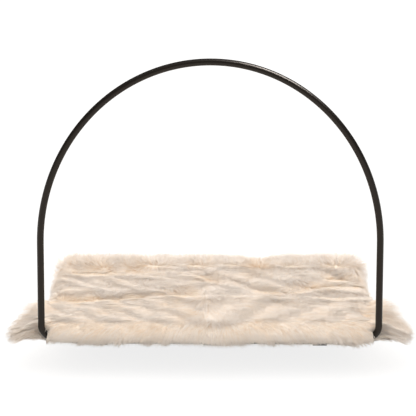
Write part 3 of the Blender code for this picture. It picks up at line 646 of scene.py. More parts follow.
CUP_NUMBERS = (1, 2, 3, 4)
for number in CUP_NUMBERS:
    for kind, width, material, slot in (
            ("holder", HOLDER_EDGE, moulded_nylon, "black_nylon"),
            ("washer", WASHER_EDGE, zinc_plate, "zinc_steel")):
        node = f"cup_{kind}_{number}"
        add_piece(node + "_rounded", rounded_copy(node, width), material, f"cup_{number}",
                  [node], SMALL_PART_SHARP)
print("clips, holders and washers rounded")

# %% [markdown]
# ## Suction cups
# A cup is a turned shape: a thick neck that grips the screw, a dome and a thin rim that seals
# on the glass. Its outline is drawn once as a line of corners and spun round its axis. A
# small tab at its lowest point lets a finger peel it off. The tab is joined with a Boolean, because
# in clear rubber a rim inside the tab would show.

# %% Spin a cup and join its tab
CUP_STEPS = 64
RIM_WIDTH, RIM_EDGE, CUP_HOLLOW, NECK_RADIUS = 0.006, 0.0015, 0.007, 0.009
DOME_HEIGHT, NECK_END, SCREW_BORE, BORE_DEPTH = 0.012, 0.022, 0.0028, 0.0117
NECK_EDGE, NECK_FOOT = 0.0012, 0.002
TAB_WIDTH, TAB_REACH, TAB_THICKNESS, TAB_OVERLAP = 0.012, 0.007, 0.002, 0.003
TAB_CORNER, TAB_EDGE, TAB_SETBACK = 0.004, 0.0004, 0.0003
ARC_STEPS = 12
DOME_TURN = 75


def cup_outline(radius):
    """Radius and height of the corners, from the bore over the dome and the rim into the hollow."""
    bore_end = NECK_END - BORE_DEPTH
    corners = [(0, bore_end), (SCREW_BORE, bore_end), (SCREW_BORE, NECK_END)]
    corners += [(NECK_RADIUS - NECK_EDGE, NECK_END)]
    corners += [(NECK_RADIUS - NECK_EDGE / 3, NECK_END - NECK_EDGE / 3)]
    corners += [(NECK_RADIUS, NECK_END - NECK_EDGE), (NECK_RADIUS, DOME_HEIGHT + NECK_FOOT)]
    reach, fall = radius - NECK_RADIUS, DOME_HEIGHT - RIM_EDGE
    for step in range(ARC_STEPS + 1):
        turn = math.radians(DOME_TURN * step / ARC_STEPS)
        corners.append((NECK_RADIUS + reach * math.sin(turn),
                        DOME_HEIGHT - fall * (1 - math.cos(turn))))
    corners += [(radius - 0.0003, RIM_EDGE), (radius, RIM_EDGE / 2), (radius - 0.0002, 0)]
    hollow = radius - RIM_WIDTH
    for step in range(ARC_STEPS + 1):
        turn = math.pi / 2 * step / ARC_STEPS
        corners.append((hollow * math.cos(turn), CUP_HOLLOW * math.sin(turn)))
    corners[-1] = (0, CUP_HOLLOW)
    return corners


def spun(outline, steps, name):
    """An outline of radius and height, spun round the Z axis."""
    shape = bmesh.new()
    corners = [shape.verts.new((radius, 0, height)) for radius, height in outline]
    edges = [shape.edges.new(pair) for pair in zip(corners, corners[1:])]
    bmesh.ops.spin(
        shape, geom=[*corners, *edges], cent=(0, 0, 0), axis=(0, 0, 1), angle=2 * math.pi,
        steps=steps, use_merge=True, use_duplicate=False)
    bmesh.ops.remove_doubles(shape, verts=shape.verts, dist=SAME_PLACE)
    return to_mesh(shape, name, True)


def union(first, second):
    """The outer skin of two closed meshes together."""
    items = [bpy.data.objects.new("part", mesh) for mesh in (first, second)]
    for item in items:
        bpy.context.scene.collection.objects.link(item)
    joiner = items[0].modifiers.new("join", "BOOLEAN")
    joiner.operation = "UNION"
    joiner.object = items[1]
    graph = bpy.context.evaluated_depsgraph_get()
    result = bpy.data.meshes.new_from_object(items[0].evaluated_get(graph))
    for item in items:
        bpy.data.objects.remove(item, do_unlink=True)
    return result


def tab_mesh(radius):
    """The tab: a slip of rubber with rounded corners and a soft edge, below the rim."""
    shape = bmesh.new()
    bmesh.ops.create_cube(shape, size=1)
    length = TAB_REACH + TAB_OVERLAP
    bmesh.ops.scale(shape, verts=shape.verts, vec=(TAB_WIDTH, TAB_THICKNESS, length))
    low = [edge for edge in shape.edges if all(corner.co.z < 0 for corner in edge.verts)]
    through = [e for e in low if abs(e.verts[0].co.y - e.verts[1].co.y) > TAB_THICKNESS / 2]
    round_edges(shape, through, TAB_CORNER, 6)
    round_edges(shape, hard_edges(shape, HARD_EDGE), TAB_EDGE, 2)
    middle = (0, -TAB_THICKNESS / 2 - TAB_SETBACK, -radius - TAB_REACH + length / 2)
    bmesh.ops.translate(shape, verts=shape.verts, vec=middle)
    return to_mesh(shape, "cup_tab", True)


for number in CUP_NUMBERS:
    node = f"suction_cup_{number}"
    low, high = box_of(node)
    radius, middle_x = (high.x - low.x) / 2, (low.x + high.x) / 2
    cup = spun(cup_outline(radius), CUP_STEPS, node + "_body")
    cup.transform(Matrix.Rotation(math.pi / 2, 4, "X"))
    cup = union(cup, tab_mesh(radius))
    cup.transform(Matrix.Translation((middle_x, high.y, high.z - radius)))
    cup.name = node + "_clear"
    add_piece(node + "_clear", cup, soft_rubber, f"cup_{number}",
              [node], SMALL_PART_SHARP)
print("cup corners:", len(cup.vertices))

# %% [markdown]
# ## Hand knobs
# A knob has to turn by hand, so it has lobes for the fingers. Its plan is a circle whose radius
# rises and falls. It is drawn up to its height, a dish is set into its face, and its edges are
# rounded.

# %% Make the knobs
KNOB_SIDES = 96
KNOB_LOBES = 6
KNOB_LOBE_DEPTH = 0.002
KNOB_EDGE = 0.0011
KNOB_SHARP = 30
KNOB_DISH = 0.0011
# Width and rise of each step on the face: a rim, the wall of the dish, its floor, and a boss.
KNOB_STEPS = ((0.0012, 0), (0.0006, -KNOB_DISH), (0.0035, 0), (0.0004, KNOB_DISH * 0.7))


def knob_mesh(name, radius, thickness):
    """A lobed knob on the Z axis, from -thickness / 2 to thickness / 2."""
    shape = bmesh.new()
    bmesh.ops.create_circle(shape, cap_ends=True, segments=KNOB_SIDES, radius=radius)
    for corner in shape.verts:
        wave = 1 - math.cos(KNOB_LOBES * math.atan2(corner.co.y, corner.co.x))
        corner.co *= 1 - KNOB_LOBE_DEPTH / radius * wave / 2
    bmesh.ops.translate(shape, verts=shape.verts, vec=(0, 0, -thickness / 2))
    grown = bmesh.ops.extrude_face_region(shape, geom=shape.faces[:])["geom"]
    bmesh.ops.translate(shape, verts=of_kind(grown, bmesh.types.BMVert), vec=(0, 0, thickness))
    round_edges(shape, hard_edges(shape, RIM_ANGLE), KNOB_EDGE, 4)
    top = max(shape.faces, key=lambda face: face.calc_center_median().z)
    for width, rise in KNOB_STEPS:
        bmesh.ops.inset_region(shape, faces=[top], thickness=width, depth=rise)
    return to_mesh(shape, name, True)


for number in CUP_NUMBERS:
    node = f"cup_knob_{number}"
    low, high = box_of(node)
    knob = knob_mesh(node + "_lobed", (high.x - low.x) / 2, high.y - low.y)
    knob.transform(Matrix.Translation((low + high) / 2) @ Matrix.Rotation(math.pi / 2, 4, "X"))
    add_piece(node + "_lobed", knob, moulded_nylon, f"knob_{number}",
              [node], KNOB_SHARP)
print("knob faces:", len(knob.polygons))

# %% [markdown]
# ## Plain steel inside the tubes
# The screws and the splice pins are hidden in their neighbours, so their solids stay as they are
# and only take the zinc.

# %% Plate the pins and the screws
plated = ["arch_splice_pin", "frame_splice_left", "frame_splice_right"]
plated += [f"cup_stud_{number}" for number in CUP_NUMBERS]
for node in plated:
    frame["nodes"][node].data.materials[0] = zinc_plate
print("zinc plated:", len(plated), "solids")

# %% [markdown]
# ## Canvas sling
# The bed is carried by one width of canvas. Its sides are turned round the rails and sewn to
# the cloth with a tail on the underside. The route of the cloth from one tail to the other gives
# the width that it is cut to. The cloth sags a little between the rails, as the photographed bed
# carries only its cover.

# %% Carry the route of the cloth along the rails
sling_low, sling_high = box_of("sling")
CLOTH_THICKNESS = 0.001
CLOTH_SHARP = 60
SLEEVE_MIDDLE = 0.0069
SLEEVE_STEPS = 40
SLING_SAG = 0.006
SLING_COLUMNS = 60
SLING_ROWS = 48
TAIL_LENGTH = 0.009
SEAM_TURN = math.radians(34)
span_half = rail_x - 0.004


def sling_sag(x):
    """How far the cloth hangs below the top of its sleeves."""
    return SLING_SAG * max(0, 1 - (x / span_half) ** 2)


def sling_route():
    """Places across the bed in X and Z: tail, sleeve, span, sleeve, tail."""
    top = frame_z + SLEEVE_MIDDLE
    right = []
    for step in range(SLEEVE_STEPS + 1):
        angle = math.pi / 2 + (SEAM_TURN - 2 * math.pi) * step / SLEEVE_STEPS
        right.append((rail_x + SLEEVE_MIDDLE * math.cos(angle),
                      frame_z + SLEEVE_MIDDLE * math.sin(angle)))
    seam_x = right[-1][0] - 0.001
    for step in range(4):
        x = seam_x - TAIL_LENGTH * step / 3
        right.append((x, top - sling_sag(x) - 1.15 * CLOTH_THICKNESS))
    span = [span_half * (2 * step / SLING_COLUMNS - 1) for step in range(SLING_COLUMNS + 1)]
    left = [(-x, z) for x, z in reversed(right)]
    return left + [(x, top - sling_sag(x)) for x in span] + right


def cloth_along_y(name, route, start_y, end_y, rows):
    """A single layer of cloth whose outline in X and Z runs along Y."""
    shape = bmesh.new()
    corners = [shape.verts.new((x, start_y, z)) for x, z in route]
    edges = [shape.edges.new(pair) for pair in zip(corners, corners[1:])]
    step = Vector((0, (end_y - start_y) / rows, 0))
    for _ in range(rows):
        corners, edges = extend(shape, edges)
        bmesh.ops.translate(shape, verts=corners, vec=step)
    return to_mesh(shape, name, True)


def route_length(route):
    """The length of a route in X and Z."""
    return sum(math.dist(start, end) for start, end in zip(route, route[1:]))


cloth_route = sling_route()
sling_mesh = cloth_along_y("sling_canvas", cloth_route, sling_low.y, sling_high.y, SLING_ROWS)
canvas = add_piece(
    "sling_canvas", sling_mesh, dark_canvas, "bed", ["sling"], CLOTH_SHARP)
thicken(canvas, CLOTH_THICKNESS, 0)

# %% [markdown]
# ## Stitches
# The tails are held by two rows of lock stitches. Each stitch is a short bead of thread with few
# faces, copied along its row. A painted line of stitches would be lighter, but it would look flat
# from below, where the seams are the main thing to see.

# %% Sew the tails of the sling
STITCH_LENGTH = 0.0032
STITCH_PITCH = 0.0044
STITCH_RADIUS = 0.0003
SEAM_INSETS = (0.0095, 0.0125)
SEAM_MARGIN = 0.003
stitch_height = frame_z + SLEEVE_MIDDLE - 1.65 * CLOTH_THICKNESS - STITCH_RADIUS / 2


def add_stitch(shape, middle, way):
    """Adds one bead of thread at a place, along a direction."""
    made = bmesh.ops.create_icosphere(shape, subdivisions=1, radius=1)["verts"]
    turn = Vector(way).to_track_quat("X", "Z").to_matrix().to_4x4()
    size = Matrix.Diagonal((STITCH_LENGTH / 2, STITCH_RADIUS, STITCH_RADIUS, 1))
    bmesh.ops.transform(shape, matrix=Matrix.Translation(middle) @ turn @ size, verts=made)


def sew(name, rows, material, body):
    """Stitches along rows, each given as its start and its end, as one piece."""
    shape = bmesh.new()
    for start, end in rows:
        start, end = Vector(start), Vector(end)
        count = max(1, int((end - start).length / STITCH_PITCH))
        for index in range(count):
            add_stitch(shape, start.lerp(end, (index + 0.5) / count), end - start)
    print(name, len(shape.faces), "faces")
    return add_piece(name, to_mesh(shape, name), material, body, (), 180)


seams = []
for side in (-1, 1):
    for inset in SEAM_INSETS:
        x = side * (rail_x - inset)
        z = stitch_height - sling_sag(x)
        seams.append(((x, sling_low.y + SEAM_MARGIN, z), (x, sling_high.y - SEAM_MARGIN, z)))
sling_stitches = sew("sling_stitches", seams, sewing_thread, "bed")

# %% [markdown]
# ## Foam pad
# A sheet of open foam gives the bed its body. Its top is a little crowned, its sides are drawn
# in between the corners, and a crease runs across it where it folds in two for packing. It
# starts as a grid, is drawn down to its thickness, and is then shaped place by place.

# %% Shape the pad
pad_low, pad_high = box_of("foam_pad")
PAD_THICKNESS = 0.015
PAD_ABOVE_RAIL = 0.0078
PAD_CLEARANCE = 0.0006
PAD_CROWN = 0.003
PAD_DRAWN_IN = 0.005
PAD_EDGE = 0.0045
PAD_GRID = (60, 48)
CREASE_DEPTH = 0.004
CREASE_HALF = 0.016
CREASE_FROM_REAR = 0.53
pad_crease_y = rear_bar_y - CREASE_FROM_REAR * bed_depth


def crease_share(y):
    """How deep in the long crease a place is, from 0 to 1."""
    return max(0, 1 - abs(y - pad_crease_y) / CREASE_HALF)


def pad_top(x, y):
    """The pad's thickness at a place: a crown, less the crease."""
    across = max(0, 1 - (x / pad_high.x) ** 2)
    along = (y - pad_high.y) / (pad_low.y - pad_high.y)
    crown = PAD_CROWN * across * 4 * along * (1 - along)
    return PAD_THICKNESS - PAD_CLEARANCE + crown - CREASE_DEPTH * crease_share(y) ** 1.5


def pad_mesh():
    """A grid with a thickness, drawn in, crowned, creased and rounded at its edges."""
    shape = bmesh.new()
    bmesh.ops.create_grid(shape, x_segments=PAD_GRID[0], y_segments=PAD_GRID[1], size=0.5)
    grown = bmesh.ops.extrude_face_region(shape, geom=shape.faces[:])["geom"]
    risen = set(of_kind(grown, bmesh.types.BMVert))
    middle_y, length = (pad_low.y + pad_high.y) / 2, pad_high.y - pad_low.y
    for corner in shape.verts:
        tuck = PAD_DRAWN_IN * (1 - (2 * corner.co.y) ** 2)
        x = 2 * corner.co.x * (pad_high.x - tuck)
        y = middle_y + corner.co.y * length
        sunk = sling_sag(x) * (sling_low.y < y < sling_high.y)
        rise = pad_top(x, y) if corner in risen else -sunk
        corner.co = (x, y, frame_z + PAD_ABOVE_RAIL + rise)
    bmesh.ops.recalc_face_normals(shape, faces=shape.faces)
    round_edges(shape, hard_edges(shape, RIM_ANGLE), PAD_EDGE, 4)
    return to_mesh(shape, "pad_foam")


pad = add_piece("pad_foam", pad_mesh(), foam, "bed", ["foam_pad"], 180)
print("pad faces:", len(pad.data.polygons))

# %% [markdown]
# ## Straps of the cover
# Two elastic straps run under the bed from skirt to skirt and keep the cover from sliding. Each
# is one length of ribbed webbing that turns up round the rails. A box of stitches at each end
# holds it to the skirt.

# %% Run the straps under the rails
STRAP_MIDDLE = 0.0084
STRAP_THICKNESS = 0.0011
STRAP_ARC_STEPS = 12
STRAP_COLUMNS = 40
STRAP_ROWS = 8
STRAP_RISES = (0.004, 0.008, 0.0118)
SEAM_HEIGHTS = (0.002, 0.0105)
SEAM_PROUD = 0.0006
# The corners of a box that its rows of stitches join: four sides and a cross.
SEAM_PAIRS = ((0, 1), (1, 2), (2, 3), (3, 0), (0, 2), (1, 3))


def strap_route():
    """Places across the bed in X and Z, from one turned-up end to the other."""
    low = frame_z - STRAP_MIDDLE
    right = [(rail_x * step / STRAP_COLUMNS, low) for step in range(1, STRAP_COLUMNS)]
    for step in range(STRAP_ARC_STEPS + 1):
        angle = math.pi / 2 * (step / STRAP_ARC_STEPS - 1)
        right.append((rail_x + STRAP_MIDDLE * math.cos(angle),
                      frame_z + STRAP_MIDDLE * math.sin(angle)))
    right += [(rail_x + STRAP_MIDDLE, frame_z + rise) for rise in STRAP_RISES]
    return [(-x, z) for x, z in reversed(right)] + [(0, low)] + right


for side in ("front", "rear"):
    node = "cover_strap_" + side
    low, high = box_of(node)
    mesh = cloth_along_y(node + "_elastic", strap_route(), low.y, high.y, STRAP_ROWS)
    strap = add_piece(
        node + "_elastic", mesh, ribbed_elastic, "bed", [node], CLOTH_SHARP)
    thicken(strap, STRAP_THICKNESS, 0)
    boxes = []
    for hand in (-1, 1):
        x = hand * (rail_x + STRAP_MIDDLE + SEAM_PROUD)
        front, back = low.y + SEAM_MARGIN, high.y - SEAM_MARGIN
        bottom, top = (frame_z + height for height in SEAM_HEIGHTS)
        corners = [(x, front, bottom), (x, back, bottom), (x, back, top), (x, front, top)]
        boxes += [(corners[i], corners[j]) for i, j in SEAM_PAIRS]
    stitches = sew(node + "_stitches", boxes, sewing_thread, "bed")
    route_length(strap_route())

# %% [markdown]
# ## The pelt under the pile
# Long pile fabric is a knitted ground with tufts. The ground of the cover is a soft thick skin
# over the pad, with skirts, a front flap and two corners. It starts as a copy of the solid
# that holds its space. A voxel remesh gives it even faces, and its outer side is then drawn in,
# because the pile has to fit between the ground and the outside of the solid.

# %% Copy the cover and remesh it
PELT_VOXEL = 0.0045
PILE_DEPTH = 0.003
PILE_DEPTH_ON_TOP = 0.0005
PELT_SMOOTHING = 4
TUFT_RISE = 0.0022
TUFT_SPACING = 0.041
TUFT_SKEW_SHARE = 0.35
CREASE_FILL = 0.6
core_low = Vector((-rail_x, front_bar_y, frame_z))
core_high = Vector((rail_x, rear_bar_y, frame_z))


def faces_out(place, normal):
    """Whether a spot of the cover faces away from the bed that it wraps."""
    core = [min(max(p, low), high) for p, low, high in zip(place, core_low, core_high)]
    return (place - Vector(core)).dot(normal) > 0


def tuft_relief(place):
    """The waves of the solid's top. The pile makes its own, so the ground goes without them."""
    skewed = place.x + TUFT_SKEW_SHARE * place.y
    across = math.sin(math.pi * skewed / TUFT_SPACING)
    return TUFT_RISE * across * math.cos(math.pi * place.y / TUFT_SPACING)


def remeshed(mesh, voxel):
    """A mesh rebuilt from cubes of one size, as new faces of even size."""
    item = bpy.data.objects.new("remesh", mesh)
    bpy.context.scene.collection.objects.link(item)
    modifier = item.modifiers.new("voxels", "REMESH")
    modifier.mode = "VOXEL"
    modifier.voxel_size = voxel
    graph = bpy.context.evaluated_depsgraph_get()
    result = bpy.data.meshes.new_from_object(item.evaluated_get(graph))
    bpy.data.objects.remove(item, do_unlink=True)
    return result


def make_pelt_mesh():
    """The ground of the cover: the solid's shape with its outer side drawn in."""
    shape = bmesh.new()
    shape.from_mesh(frame["nodes"]["fur_cover"].data)
    bmesh.ops.remove_doubles(shape, verts=shape.verts, dist=SAME_PLACE)
    mesh = remeshed(to_mesh(shape, "pelt_blank"), PELT_VOXEL)
    shape = bmesh.new()
    shape.from_mesh(mesh)
    shape.normal_update()
    for corner in shape.verts:
        if faces_out(corner.co, corner.normal):
            up = max(0, corner.normal.z)
            depth = PILE_DEPTH + PILE_DEPTH_ON_TOP * up
            filled = CREASE_FILL * CREASE_DEPTH * crease_share(corner.co.y)
            corner.co.z += (filled - tuft_relief(corner.co)) * up
            corner.co -= depth * corner.normal
    for _ in range(PELT_SMOOTHING):
        bmesh.ops.smooth_vert(shape, verts=shape.verts, factor=0.5,
                              use_axis_x=True, use_axis_y=True, use_axis_z=True)
    shape.normal_update()
    return to_mesh(shape, "pelt")


pelt_mesh = make_pelt_mesh()
print("pelt faces:", len(pelt_mesh.polygons))

# %% [markdown]
# ## The look of the ground
# Between the tufts the ground shows the dense short fibres at their roots. They are painted
# warmer and darker than the tips, as painted shade between the tufts. A fine noise stands for
# the fibres. Under the bed the same cloth shows its knitted back, which is smooth and pale.

# %% Undercoat
# Painted shade: the ground is coloured warmer and darker than the tips of the pile.
PAINTED_SHADE_TAN = (0.86, 0.74, 0.61, 1)
PAINTED_SHADE_CREAM = (0.92, 0.83, 0.73, 1)


def undercoat():
    """Short dense fibres: fine noise in two warm shades, darker than the pile as painted shade."""
    material, tree, shader = new_material("undercoat", roughness=0.95)
    shader.inputs["Specular IOR Level"].default_value = 0.1
    place = add_node(tree, "TexCoord")
    fibres = add_node(tree, "TexNoise", {"Scale": 700, "Detail": 4, "Roughness": 0.7})
    colour = add_node(tree, "ValToRGB")
    colour.color_ramp.elements[0].position = 0.35
    colour.color_ramp.elements[0].color = PAINTED_SHADE_TAN
    colour.color_ramp.elements[1].position = 0.65
    colour.color_ramp.elements[1].color = PAINTED_SHADE_CREAM
    bump = add_node(tree, "Bump", {"Strength": 0.6, "Distance": 0.001})
    wire(tree, (place, "Object", fibres, "Vector"), (fibres, "Fac", colour, "Fac"),
               (colour, 0, shader, "Base Color"), (fibres, "Fac", bump, "Height"),
               (bump, 0, shader, "Normal"))
    return material


pelt = add_piece("cover_pelt", pelt_mesh, undercoat(), "bed", ["fur_cover"], 180)
pelt.data.materials.append(knitted_back)
for face in pelt.data.polygons:
    face.material_index = 0 if faces_out(face.center, face.normal) else 1
print("pelt dressed:", [material.name for material in pelt.data.materials])

# %% [markdown]
# ## Where the tufts grow
# The pile is real geometry, because its silhouette and its shadows make the look of the cover.
# Blender's hair would do for a picture, but a mesh also survives export. Roots are scattered over
# the outer faces of the ground by area, with a fixed seed, so each run grows the same coat.

# %% Scatter roots over the ground
STRANDS = 80000
POINT_SPACING = 0.013
LOCK_SPACING = 0.003
rng = np.random.default_rng(11)


def read(items, label, kind):
    """The triples of a mesh's corners or triangles under a label, as an array."""
    values = np.empty(len(items) * 3, kind)
    items.foreach_get(label, values)
    return values.reshape(-1, 3)


def outer_triangles(mesh):
    """Corners and corner normals of the triangles that face out, and their areas."""
    mesh.calc_loop_triangles()
    places = read(mesh.vertices, "co", np.float32).astype(float)
    normals = read(mesh.vertices, "normal", np.float32).astype(float)
    corners = read(mesh.loop_triangles, "vertices", np.int32)
    middle, facing = places[corners].mean(1), normals[corners].mean(1)
    core = np.clip(middle, np.array(core_low), np.array(core_high))
    outside = ((middle - core) * facing).sum(1) > 0
    outside &= middle[:, 2] > ROOTS_ABOVE
    corners = corners[outside]
    first, second, third = (places[corners[:, index]] for index in range(3))
    across = np.cross(second - first, third - first)
    return places[corners], normals[corners], np.linalg.norm(across, axis=1) / 2


def scatter(count, triangles):
    """Random spots on triangles, as many on each as its weight asks, with their normals."""
    places, normals, weight = triangles
    chosen = rng.choice(len(weight), count, p=weight / weight.sum())
    share = rng.random((count, 2))
    flip = share.sum(1) > 1
    share[flip] = 1 - share[flip]
    parts = np.column_stack([1 - share.sum(1), share])[:, :, None]
    spot = (places[chosen] * parts).sum(1)
    normal = (normals[chosen] * parts).sum(1)
    return spot, normal / np.linalg.norm(normal, axis=1)[:, None]


ROOTS_ABOVE = 0.012
ground = outer_triangles(pelt_mesh)
area = ground[2].sum()
tuft_count = int(area / POINT_SPACING ** 2)
lock_count = int(area / LOCK_SPACING ** 2)
strand_roots, strand_normals = scatter(STRANDS, ground)
lock_roots, lock_normals = scatter(lock_count, ground)
tuft_roots, tuft_normals = scatter(tuft_count, ground)
print(f"{area:.3f} square metres, {tuft_count} tufts, {lock_count} locks, {STRANDS} strands")

# %% [markdown]
# ## Combing the pile
# In the photograph the coat has four lays. In front of the long crease it is brushed forwards
# and out to the sides. From the ridge at the front it falls over the bar, and fans out. At
# the sides it hangs out and down. Behind the crease it swirls, and parts round a few dents,
# where painted shade makes the pile warm and deep. A comb is a direction for every spot, mixed
# from these lays.

# %% The directions of the comb
RIDGE_FROM_HINGE = 0.028
CREASE_FROM_HINGE = 0.16
ridge_y = arch_hinge.y + RIDGE_FROM_HINGE
crease_y = arch_hinge.y + CREASE_FROM_HINGE

# The dents are those of the solid. Each is a line between two places, and each place is a share
# of the rail's distance from the middle, then a share of the bed's depth from the front bar.
DENT_SHARES = (
    ((-0.94, 0.90), (-0.71, 0.91)),
    ((-0.58, 0.91), (-0.54, 0.92)),
    ((-1.08, 0.41), (-0.80, 0.42)),
    ((-0.72, 0.44), (-0.42, 0.48)),
    ((-0.29, 0.51), (-0.17, 0.52)),
    ((0.01, 0.77), (0.05, 0.76)),
    ((0.34, 1.02), (0.37, 1.01)),
    ((0.37, 0.56), (0.60, 0.57)),
    ((0.67, 0.64), (0.88, 0.67)),
    ((0.89, 0.80), (0.92, 0.81)),
    ((1.02, 0.68), (1.06, 0.68)),
    ((1.06, 0.16), (1.10, 0.15)),
)
DENT_REACH = 0.024
DENTS = [
    [np.array((across * rail_x, front_bar_y + back * bed_depth)) for across, back in dent]
    for dent in DENT_SHARES]


def unit(vectors, tiny=1e-9):
    """Vectors of length one. A tiny number keeps a zero from dividing."""
    return vectors / (np.linalg.norm(vectors, axis=-1, keepdims=True) + tiny)


def ease(value):
    """A smooth step from 0 to 1."""
    value = np.clip(value, 0, 1)
    return value * value * (3 - 2 * value)


def ripples(places, wavelength, seed):
    """A smooth random field of about unit size, made of waves that run every way."""
    waves = np.random.default_rng(seed)
    total = np.zeros(len(places))
    for _ in range(8):
        way = waves.normal(size=3)
        way *= waves.uniform(0.7, 1.5) / np.linalg.norm(way)
        total += np.sin(2 * math.pi / wavelength * places @ way + waves.uniform(0, 2 * math.pi))
    return total / 2


def wave(places, size, wavelength, seed):
    """Ripples of a size."""
    return size * ripples(places, wavelength, seed)


def from_dents(places):
    """How strongly the nearest dent is felt, and the direction away from it in plan."""
    felt = np.zeros(len(places))
    push = np.zeros((len(places), 2))
    for start, end in DENTS:
        run = end - start
        share = np.clip((places[:, :2] - start) @ run / (run @ run), 0, 1)
        off = places[:, :2] - start - share[:, None] * run
        far = np.linalg.norm(off, axis=1) + 1e-6
        weight = np.exp(-((far / DENT_REACH) ** 2))
        felt = np.maximum(felt, weight)
        push += off / far[:, None] * weight[:, None]
    return felt, push


def zones(places):
    """How much of each lay a spot has: band, fan, flank, wing and back, each from 0 to 1."""
    x, y, z = places.T
    across = np.abs(x)
    fan = ease((ridge_y + RIDGE_LEAD - y) / RIDGE_BLEND)
    fan *= ease((FRINGE_HALF - across) / FRINGE_SIDE_BLEND + 0.5)
    outside = ease((across - OUTSIDE_FROM) / OUTSIDE_BLEND) * (1 - fan)
    wing = outside * ease((wing_end_y - y) / WING_BLEND)
    border = wave(places * (1, 0, 0), *CREASE_WAVE)
    return {
        "band": ease((crease_y + border - y) / CREASE_BLEND),
        "fan": fan,
        "wing": wing,
        "flank": outside * (1 - wing),
        "back": ease((y - back_y) / BACK_BLEND),
    }


FRINGE_HALF = 0.276
OUTSIDE_FROM = 0.255
RIDGE_LEAD = 0.004
# How softly one lay turns into the next, in metres.
RIDGE_BLEND, FRINGE_SIDE_BLEND, OUTSIDE_BLEND = 0.014, 0.008, 0.02
WING_BLEND, CREASE_BLEND, BACK_BLEND = 0.05, 0.04, 0.03
MIDDLE_SOFTNESS = 0.025
# Waves in the coat: size, wavelength in metres and seed.
CREASE_WAVE = (0.012, 0.11, 9)
BROAD_SWIRL, SMALL_SWIRL = (0.6, 0.17, 1), (0.22, 0.07, 2)
WANDER, LEAN_WAVE, RISE_WAVE = (0.16, 0.12, 3), (0.25, 0.06, 4), (0.3, 0.05, 5)
RAGGED_WAVE, WIDE_TINT = (0.0022, 0.022, 8), (0.1, 0.09, 7)
# The root of a wing: from the middle of the bed, behind the arch's hinge, and above the cups.
WING_ROOT = (0.235, 0.09, 0.03)
WING_END_FROM_HINGE = 0.2
BACK_FROM_GLASS = 0.06
wing_end_y = arch_hinge.y + WING_END_FROM_HINGE
back_y = -BACK_FROM_GLASS


def outward(x):
    """-1 on the left and 1 on the right, with a soft change in the middle of the bed."""
    return np.tanh(x / MIDDLE_SOFTNESS)


def from_wing_root(places):
    """The direction from the root of the nearest wing to each spot."""
    side = np.sign(places[:, 0])
    root = np.column_stack([side * WING_ROOT[0], np.full(len(side), arch_hinge.y + WING_ROOT[1]),
                            np.full(len(side), WING_ROOT[2])])
    return unit(places - root)


def comb(places, normals):
    """The direction in which the pile lies at each spot, along the ground."""
    x, y, z = places.T
    side = outward(x)
    reach = np.abs(x) / rail_x
    zone = zones(places)
    lay = np.zeros_like(places)

    swirl = wave(places, *BROAD_SWIRL) + wave(places, *SMALL_SWIRL)
    lay[:, 0] = np.sin(swirl) + 0.25 * side * reach
    lay[:, 1] = -0.9 * np.cos(swirl)
    felt, push = from_dents(places)
    lay[:, :2] += 0.9 * push

    wander = wave(places, *WANDER)
    forward = 0.1 + 0.3 * ease((y - ridge_y) / 0.09) + 0.3 * (1 - np.abs(side))
    out = np.column_stack([side * (0.6 + 0.5 * reach) + wander, wander - forward, 0 * x])
    lean = side * np.minimum(0.3 + 1.9 * reach, 1.9) + wave(places, *LEAN_WAVE)
    fall = np.column_stack([lean, np.full(len(x), -0.6), np.full(len(x), -1.0)])
    radiate = from_wing_root(places)
    hang = np.column_stack([side * 1.0, -0.15 + 0 * y, np.full(len(x), -0.35)])
    rise = np.column_stack([wave(places, *RISE_WAVE), np.full(len(x), 1.0), 0 * x])
    ways = {"band": out, "fan": fall, "wing": radiate, "flank": hang, "back": rise}
    for name, way in ways.items():
        lay = lay * (1 - zone[name][:, None]) + unit(way) * zone[name][:, None]

    lay -= (lay * normals).sum(1)[:, None] * normals
    return unit(lay), felt


# %% [markdown]
# ## Growing a strand
# A strand leaves the ground at an angle, leans over as it grows, sweeps a little to one side and
# sinks under its weight. Its line is added up in short steps. On the flap, the skirts and the
# corners it is cut where the real pile ends, so the steel bar shows below the fringe.

# %% Lines of the strands
STATIONS = 5
PILE_LENGTH = 0.042
FRINGE_END = 0.0205
SKIRT_END = 0.0125
RAGGED = 0.0012
POINT_DEPTH = 0.003
SHORTEST_DROP, SHORTEST_REACH = 0.004, 0.008
LEG_GAP = 0.0007


def wing_tips(places):
    """How far from the middle of the bed the hair of the wings reaches at each place."""
    x, y, z = places.T
    along = np.clip((y - arch_hinge.y) / WING_TIPS_LENGTH, 0, 1)
    nose = 1 - np.clip((y - arch_hinge.y) / WING_TIPS_NOSE, 0, 1)
    front = np.where(x < 0, *WING_TIPS_FRONT)
    bulge = np.where(x < 0, *WING_TIPS_BULGE)
    reach = (front - WING_TIPS_REAR) * (1 - along) ** bulge
    return WING_TIPS_REAR + reach - WING_TIPS_NOSE_CUT * nose ** 2


WING_TIPS_LENGTH = 0.145
WING_TIPS_NOSE = 0.02
WING_TIPS_NOSE_CUT = 0.012
WING_TIPS_REAR = 0.284
# The left and the right wing differ: the right one is rounder.
WING_TIPS_FRONT = (0.362, 0.356)
WING_TIPS_BULGE = (0.6, 0.1)


